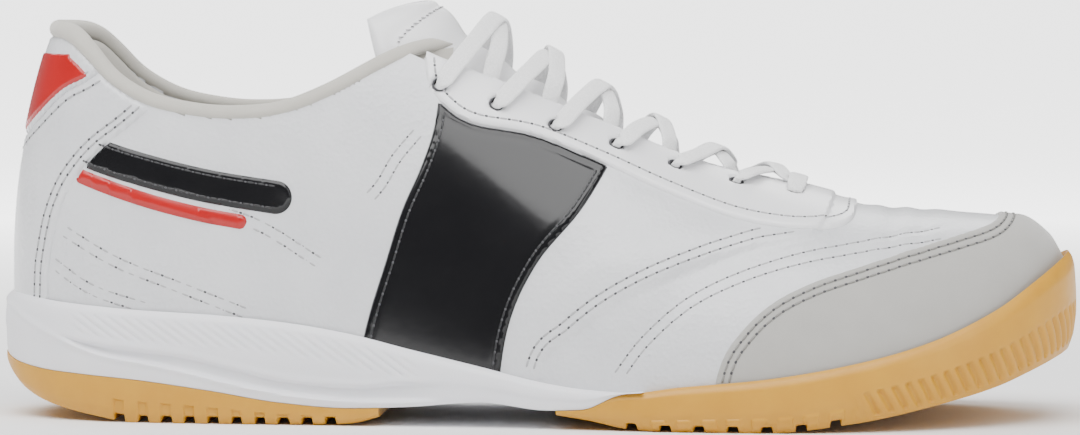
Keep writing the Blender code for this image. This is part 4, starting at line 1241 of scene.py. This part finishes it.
def ribbon(path, outward, wide, thick, roll):
    """A flat woven cord along a path, rolled about it."""
    outward, across = framed(path, outward)
    c, s = np.cos(roll)[:, None], np.sin(roll)[:, None]
    outward, across = outward * c + across * s, across * c - outward * s
    section = round_section(16, 0.55, 0.8)
    return capped(swept(path, across * wide[:, None] / 2, outward * thick[:, None] / 2, section))


def strand(start, end, side, crest, over, swing):
    """From the eyelet start on one side to under the other facing beside the eyelet end."""
    (a0, h0), (a1, h1) = start, end
    ahead = a1 - a0
    slot = np.interp(HEEL_X + LAST_LENGTH * a1, THROAT_X, THROAT_HALF)
    stops = (
        (a0, side * h0, -2.0 * MM),
        (a0 + 0.001, side * h0, FACING_TOP + 0.2 * MM),
        (a0 + 0.007, side * (h0 * 0.93), FACING_TOP + 1.9 * MM),
        (a0 + 0.30 * ahead + swing, side * h0 * 0.58, crest * 0.78 + FACING_TOP * 0.5),
        (a0 + 0.55 * ahead + swing, 0.6 * MM * side, crest + over),
        (a0 + 0.78 * ahead + swing * 0.6, -side * h1 * 0.42, crest * 0.80 + over * 0.4),
        (a1 - 0.006, -side * (slot - 0.5 * MM), 0.6 * MM),
        (a1 - 0.003, -side * (slot + 3.0 * MM), -3.2 * MM),
    )
    path, outward = lace_path(stops)
    share = np.linspace(0, 1, len(path))
    # The cord is squeezed in its eyelet and opens over the tongue.
    pinch = rise((share - 0.10) / 0.16)
    wide = LACE_WIDTH * (0.56 + 0.44 * pinch) * (1 - 0.12 * rise((share - 0.85) / 0.1))
    thick = LACE_THICK * (1.9 - 0.9 * pinch)
    roll = side * (0.55 * (1 - pinch) + 0.18 * np.sin(share * 5.0))
    return ribbon(path, outward, wide, thick, roll)


# %% Crossings and front bar
# how high each pair arches and how far it leans forward, from the top pair down
CRESTS = (5.2 * MM, 5.0 * MM, 4.2 * MM, 3.6 * MM, 3.3 * MM, 3.0 * MM)
SWINGS = (0.010, 0.008, 0.003, 0.001, 0.002, 0.001)
OVER = 1.35 * MM
for k, (crest, swing) in enumerate(zip(CRESTS, SWINGS)):
    first = -((-1) ** k)  # the strands take turns in lying on top
    upper, faces = strand(EYELETS[k], EYELETS[k + 1], first, crest, OVER, swing)
    lower, lower_faces = strand(EYELETS[k], EYELETS[k + 1], -first, crest, 0.0, swing)
    count = upper.shape[0] * upper.shape[1]
    faces = faces + [[index + count for index in face] for face in lower_faces]
    piece(f"lace_pair_{k + 1}", np.vstack([upper, lower]), faces, lace_cloth, "white_lace",
          f"lace_cross_{k + 1}", sharp=60)

front_along, front_half = EYELETS[-1]
# share of the half gauge, height
BAR_STOPS = ((-1.0, -2.0 * MM), (-1.0, 2.0 * MM), (-0.72, 3.1 * MM), (-0.3, 3.3 * MM), (0.3, 3.3 * MM),
             (0.72, 3.1 * MM), (1.0, 2.0 * MM), (1.0, -2.0 * MM))
path, outward = lace_path([(front_along + 0.002 * (1 - abs(share)), front_half * share, out)
                           for share, out in BAR_STOPS])
ends = rise(to_end(len(path)) / 26)
wide, thick = LACE_WIDTH * (0.6 + 0.4 * ends), LACE_THICK * (1.8 - 0.8 * ends)
piece("lace_front_bar", *ribbon(path, outward, wide, thick, 0.0 * ends), lace_cloth, "white_lace",
      "lace_bar", sharp=60)

# %% Punched eyelets
# Each hole is lined with a near-black ring whose lip lies just over the facing's cut edge: painted shade of
# the hole's inside.
# radius and height in millimetres; the last ring joins the first one again
RIM_PROFILE = ((1.95, -1.9), (1.95, 1.45), (1.70, 1.62), (1.50, 1.45), (1.50, -1.9), (1.95, -1.9))
circle = round_section(20)
rims, faces = [], []
for number, (turn, angle, side, centre) in enumerate(HOLES):
    outward = normal(turn, angle, side)
    ahead = unit(np.cross(outward, (0, 1.0, 0)))
    flat = circle[:, :1] * ahead + circle[:, 1:] * np.cross(outward, ahead)
    rims.append([centre + MM * (radius * flat + height * outward) for radius, height in RIM_PROFILE])
    faces += [[index + number * len(RIM_PROFILE) * len(circle) for index in face]
              for face in tube(np.array(rims[-1]))[2]]
piece("eyelet_rims", rims, faces, hole_shade, None, sharp=60)

# %% [markdown]
# ## Seams
# Now the needle goes round. Rows that follow a panel keep an even distance inside its edge, and
# the rows on the quarter and the vamp are double. Over the toe the side view can't lead the
# thread, so each angle of the skin is searched for the place where the guard's field has the
# wanted depth.

# %% Rows in the side view
facing_row = shifted(FACING_LINE, 2.2 * MM)
sew_side("white", facing_row, 1.0 * MM, sides=(-1,), field=facing_field)
facing_row[:, 1] -= inner_drop(facing_row[:, 0])
sew_side("white", facing_row, 1.0 * MM, sides=(1,), field=facing_field)
for depth in STAY_ROWS:
    sew_side("white", shifted(STAY_LINE, depth), STAY_THICK, field=stay_field)
sew_side("white", shifted(TAB_SEAM, -TAB_ROW), STAY_THICK, field=tab_field)
sew_side("white", shifted(TAB_SEAM, 2.0 * MM), STAY_THICK, field=stay_field)


def bare_upper(place):
    """Positive where nothing covers the upper's own leather."""
    x, z = place[..., 0], place[..., 2]
    covers = [field(place) for field in (facing_field, saddle_field, stay_field, tab_field, guard_field)]
    covers += [half - away(line, x, z) for _, line, half, _, _ in BARS]
    return np.minimum(-np.maximum.reduce(covers) - 0.3 * MM, z - 14 * MM)


for line in SEAMS.values():
    for offset in (-DOUBLE / 2, DOUBLE / 2):
        sew_side("white", shifted(line, offset), 0.0, field=bare_upper)
for offset in (1.6 * MM, 3.6 * MM):
    sew_side("white", shifted(QUARTER_LINE, offset), 0.0, field=bare_upper)
for line in (shifted(SADDLE_LINE, -SADDLE_ROW), shifted(SADDLE_FRONT, -SADDLE_ROW)):
    sew_side("black", line, 0.72 * MM, field=saddle_field, pitch=CLOSE_PITCH)
_, black_line, black_half, _, _ = BARS[0]
for offset in (black_half - 1.5 * MM, 1.5 * MM - black_half):
    sew_side("black", shifted(black_line, offset), 0.5 * MM, pitch=CLOSE_PITCH)

# %% Rows over the toe
sweep = np.linspace(0.02, math.pi - 0.02, 420)
angles, sides = np.minimum(sweep, math.pi - sweep), np.where(sweep <= math.pi / 2, -1.0, 1.0)
tries = np.linspace(turn_of(0.64), turn_of(0.985), 500)
depth = guard_field(form(tries[:, None], angles[None], sides[None]))
each = np.arange(len(sweep))
for wanted in GUARD_ROWS:
    past = np.argmax(depth > wanted, axis=0)
    before, after = depth[past - 1, each], depth[past, each]
    turn = tries[past - 1] + (tries[past] - tries[past - 1]) * (wanted - before) / (after - before)
    place = form(turn, angles, sides)
    good = (past > 0) & (place[:, 2] > 12 * MM)
    sew("grey", turn[good], angles[good], sides[good], relief(place[good]) + 0.93 * MM)

# %% Throat and tongue
alongs = np.linspace(0.405, 0.762, 220)
offsets = np.interp(HEEL_X + LAST_LENGTH * alongs, THROAT_X, THROAT_HALF) + 2.3 * MM
for side in (-1.0, 1.0):
    sew("white", *from_above(alongs, offsets, side), side, 1.5 * MM)
UP = np.array([0, 0, 1.0])
sew_path("white", stitch_path + 0.1 * MM * UP, np.tile(UP, (len(stitch_path), 1)))

# %% Sewn piles to meshes
# The needle holes use the near-black finish that paints the shade inside holes.
thread["hole"] = hole_shade
SEWN_SLOTS = {"white": "white_leather", "grey": "grey_suede", "black": "black_patent", "hole": None}
for key, piles in SEWN.items():
    points = np.concatenate(piles)
    starts = range(0, len(points) * len(ROD), len(ROD))
    faces = [[start + index for index in face] for start in starts for face in ROD_FACES]
    piece(f"stitches_{key}", points, faces, thread[key], SEWN_SLOTS[key], sharp=80)

# %% [markdown]
# ## Stage
# The shoe stands on a pale seamless floor that glows more the farther it lies from the shoe: a
# painted glow that whitens the background and also lights the shoe from below. A wide soft light
# from above and in front opens the form, a narrow one from the toe side draws long highlights on
# the patent leather, and one from behind parts the upper edges from the background. A light world
# fills the shadows, as in a product studio.

# %% Floor and lights
floor_mesh = bpy.data.meshes.new("studio_floor")
floor_mesh.from_pydata([(-40, -40, 0), (40, -40, 0), (40, 40, 0), (-40, 40, 0)], [], [(0, 1, 2, 3)])
floor = bpy.data.objects.new("studio_floor", floor_mesh)
bpy.context.scene.collection.objects.link(floor)
# Painted glow: the floor emits light, none under the shoe and at full glow a metre away, so the background
# turns white and the shoe is lit from below.
glowing_paper = Finish("studio_paper_glow", (0.90, 0.90, 0.90), 0.9, Emission_Strength=3.0)
ball = glowing_paper.node("ShaderNodeTexGradient", {"gradient_type": "SPHERICAL"}, Vector=glowing_paper.place)
near = glowing_paper.out(ball, "Fac")
glowing_paper.set("Emission Color", (1 - near) ** 2.5)
floor_mesh.materials.append(glowing_paper.material)


def lamp(name, size, place, aim, power):
    """A rectangular area light at a place, turned to what it aims at."""
    data = bpy.data.lights.new(name, "AREA")
    data.shape = "RECTANGLE"
    data.size, data.size_y = size
    data.energy = power
    obj = bpy.data.objects.new(name, data)
    obj.location = place
    obj.rotation_euler = (Vector(aim) - Vector(place)).to_track_quat("-Z", "Y").to_euler()
    bpy.context.scene.collection.objects.link(obj)


lamp("key", (2.0, 1.3), (-0.25, -0.65, 1.45), (0, 0, 0.04), 54)
lamp("strip", (0.3, 1.2), (1.1, -0.75, 0.75), (0.02, 0, 0.05), 7)
lamp("back", (1.4, 0.6), (-0.2, 0.9, 0.9), (0, 0, 0.05), 12)
world = bpy.data.worlds.new("studio")
world.use_nodes = True
sky = world.node_tree.nodes["Background"].inputs
sky["Color"].default_value = (1, 1, 1, 1)
sky["Strength"].default_value = 0.26
bpy.context.scene.world = world

# %% Camera
DISTANCE, AZIMUTH, ELEVATION = 1.3, math.radians(4), math.radians(3)
PICTURE_WIDTH = 0.2870  # metres across the frame at the shoe
SENSOR = 36
TARGET = Vector((0.0006, 0.0, 0.0525))
camera_data = bpy.data.cameras.new("photo")
camera_data.sensor_width = SENSOR
camera_data.lens = SENSOR * DISTANCE / PICTURE_WIDTH
camera = bpy.data.objects.new("photo", camera_data)
offset = Vector((math.sin(AZIMUTH), -math.cos(AZIMUTH), math.tan(ELEVATION))) * DISTANCE
camera.location = TARGET + offset
camera.rotation_euler = (-offset).to_track_quat("-Z", "Y").to_euler()
bpy.context.scene.collection.objects.link(camera)
bpy.context.scene.camera = camera
print("camera at", [round(c, 3) for c in camera.location])
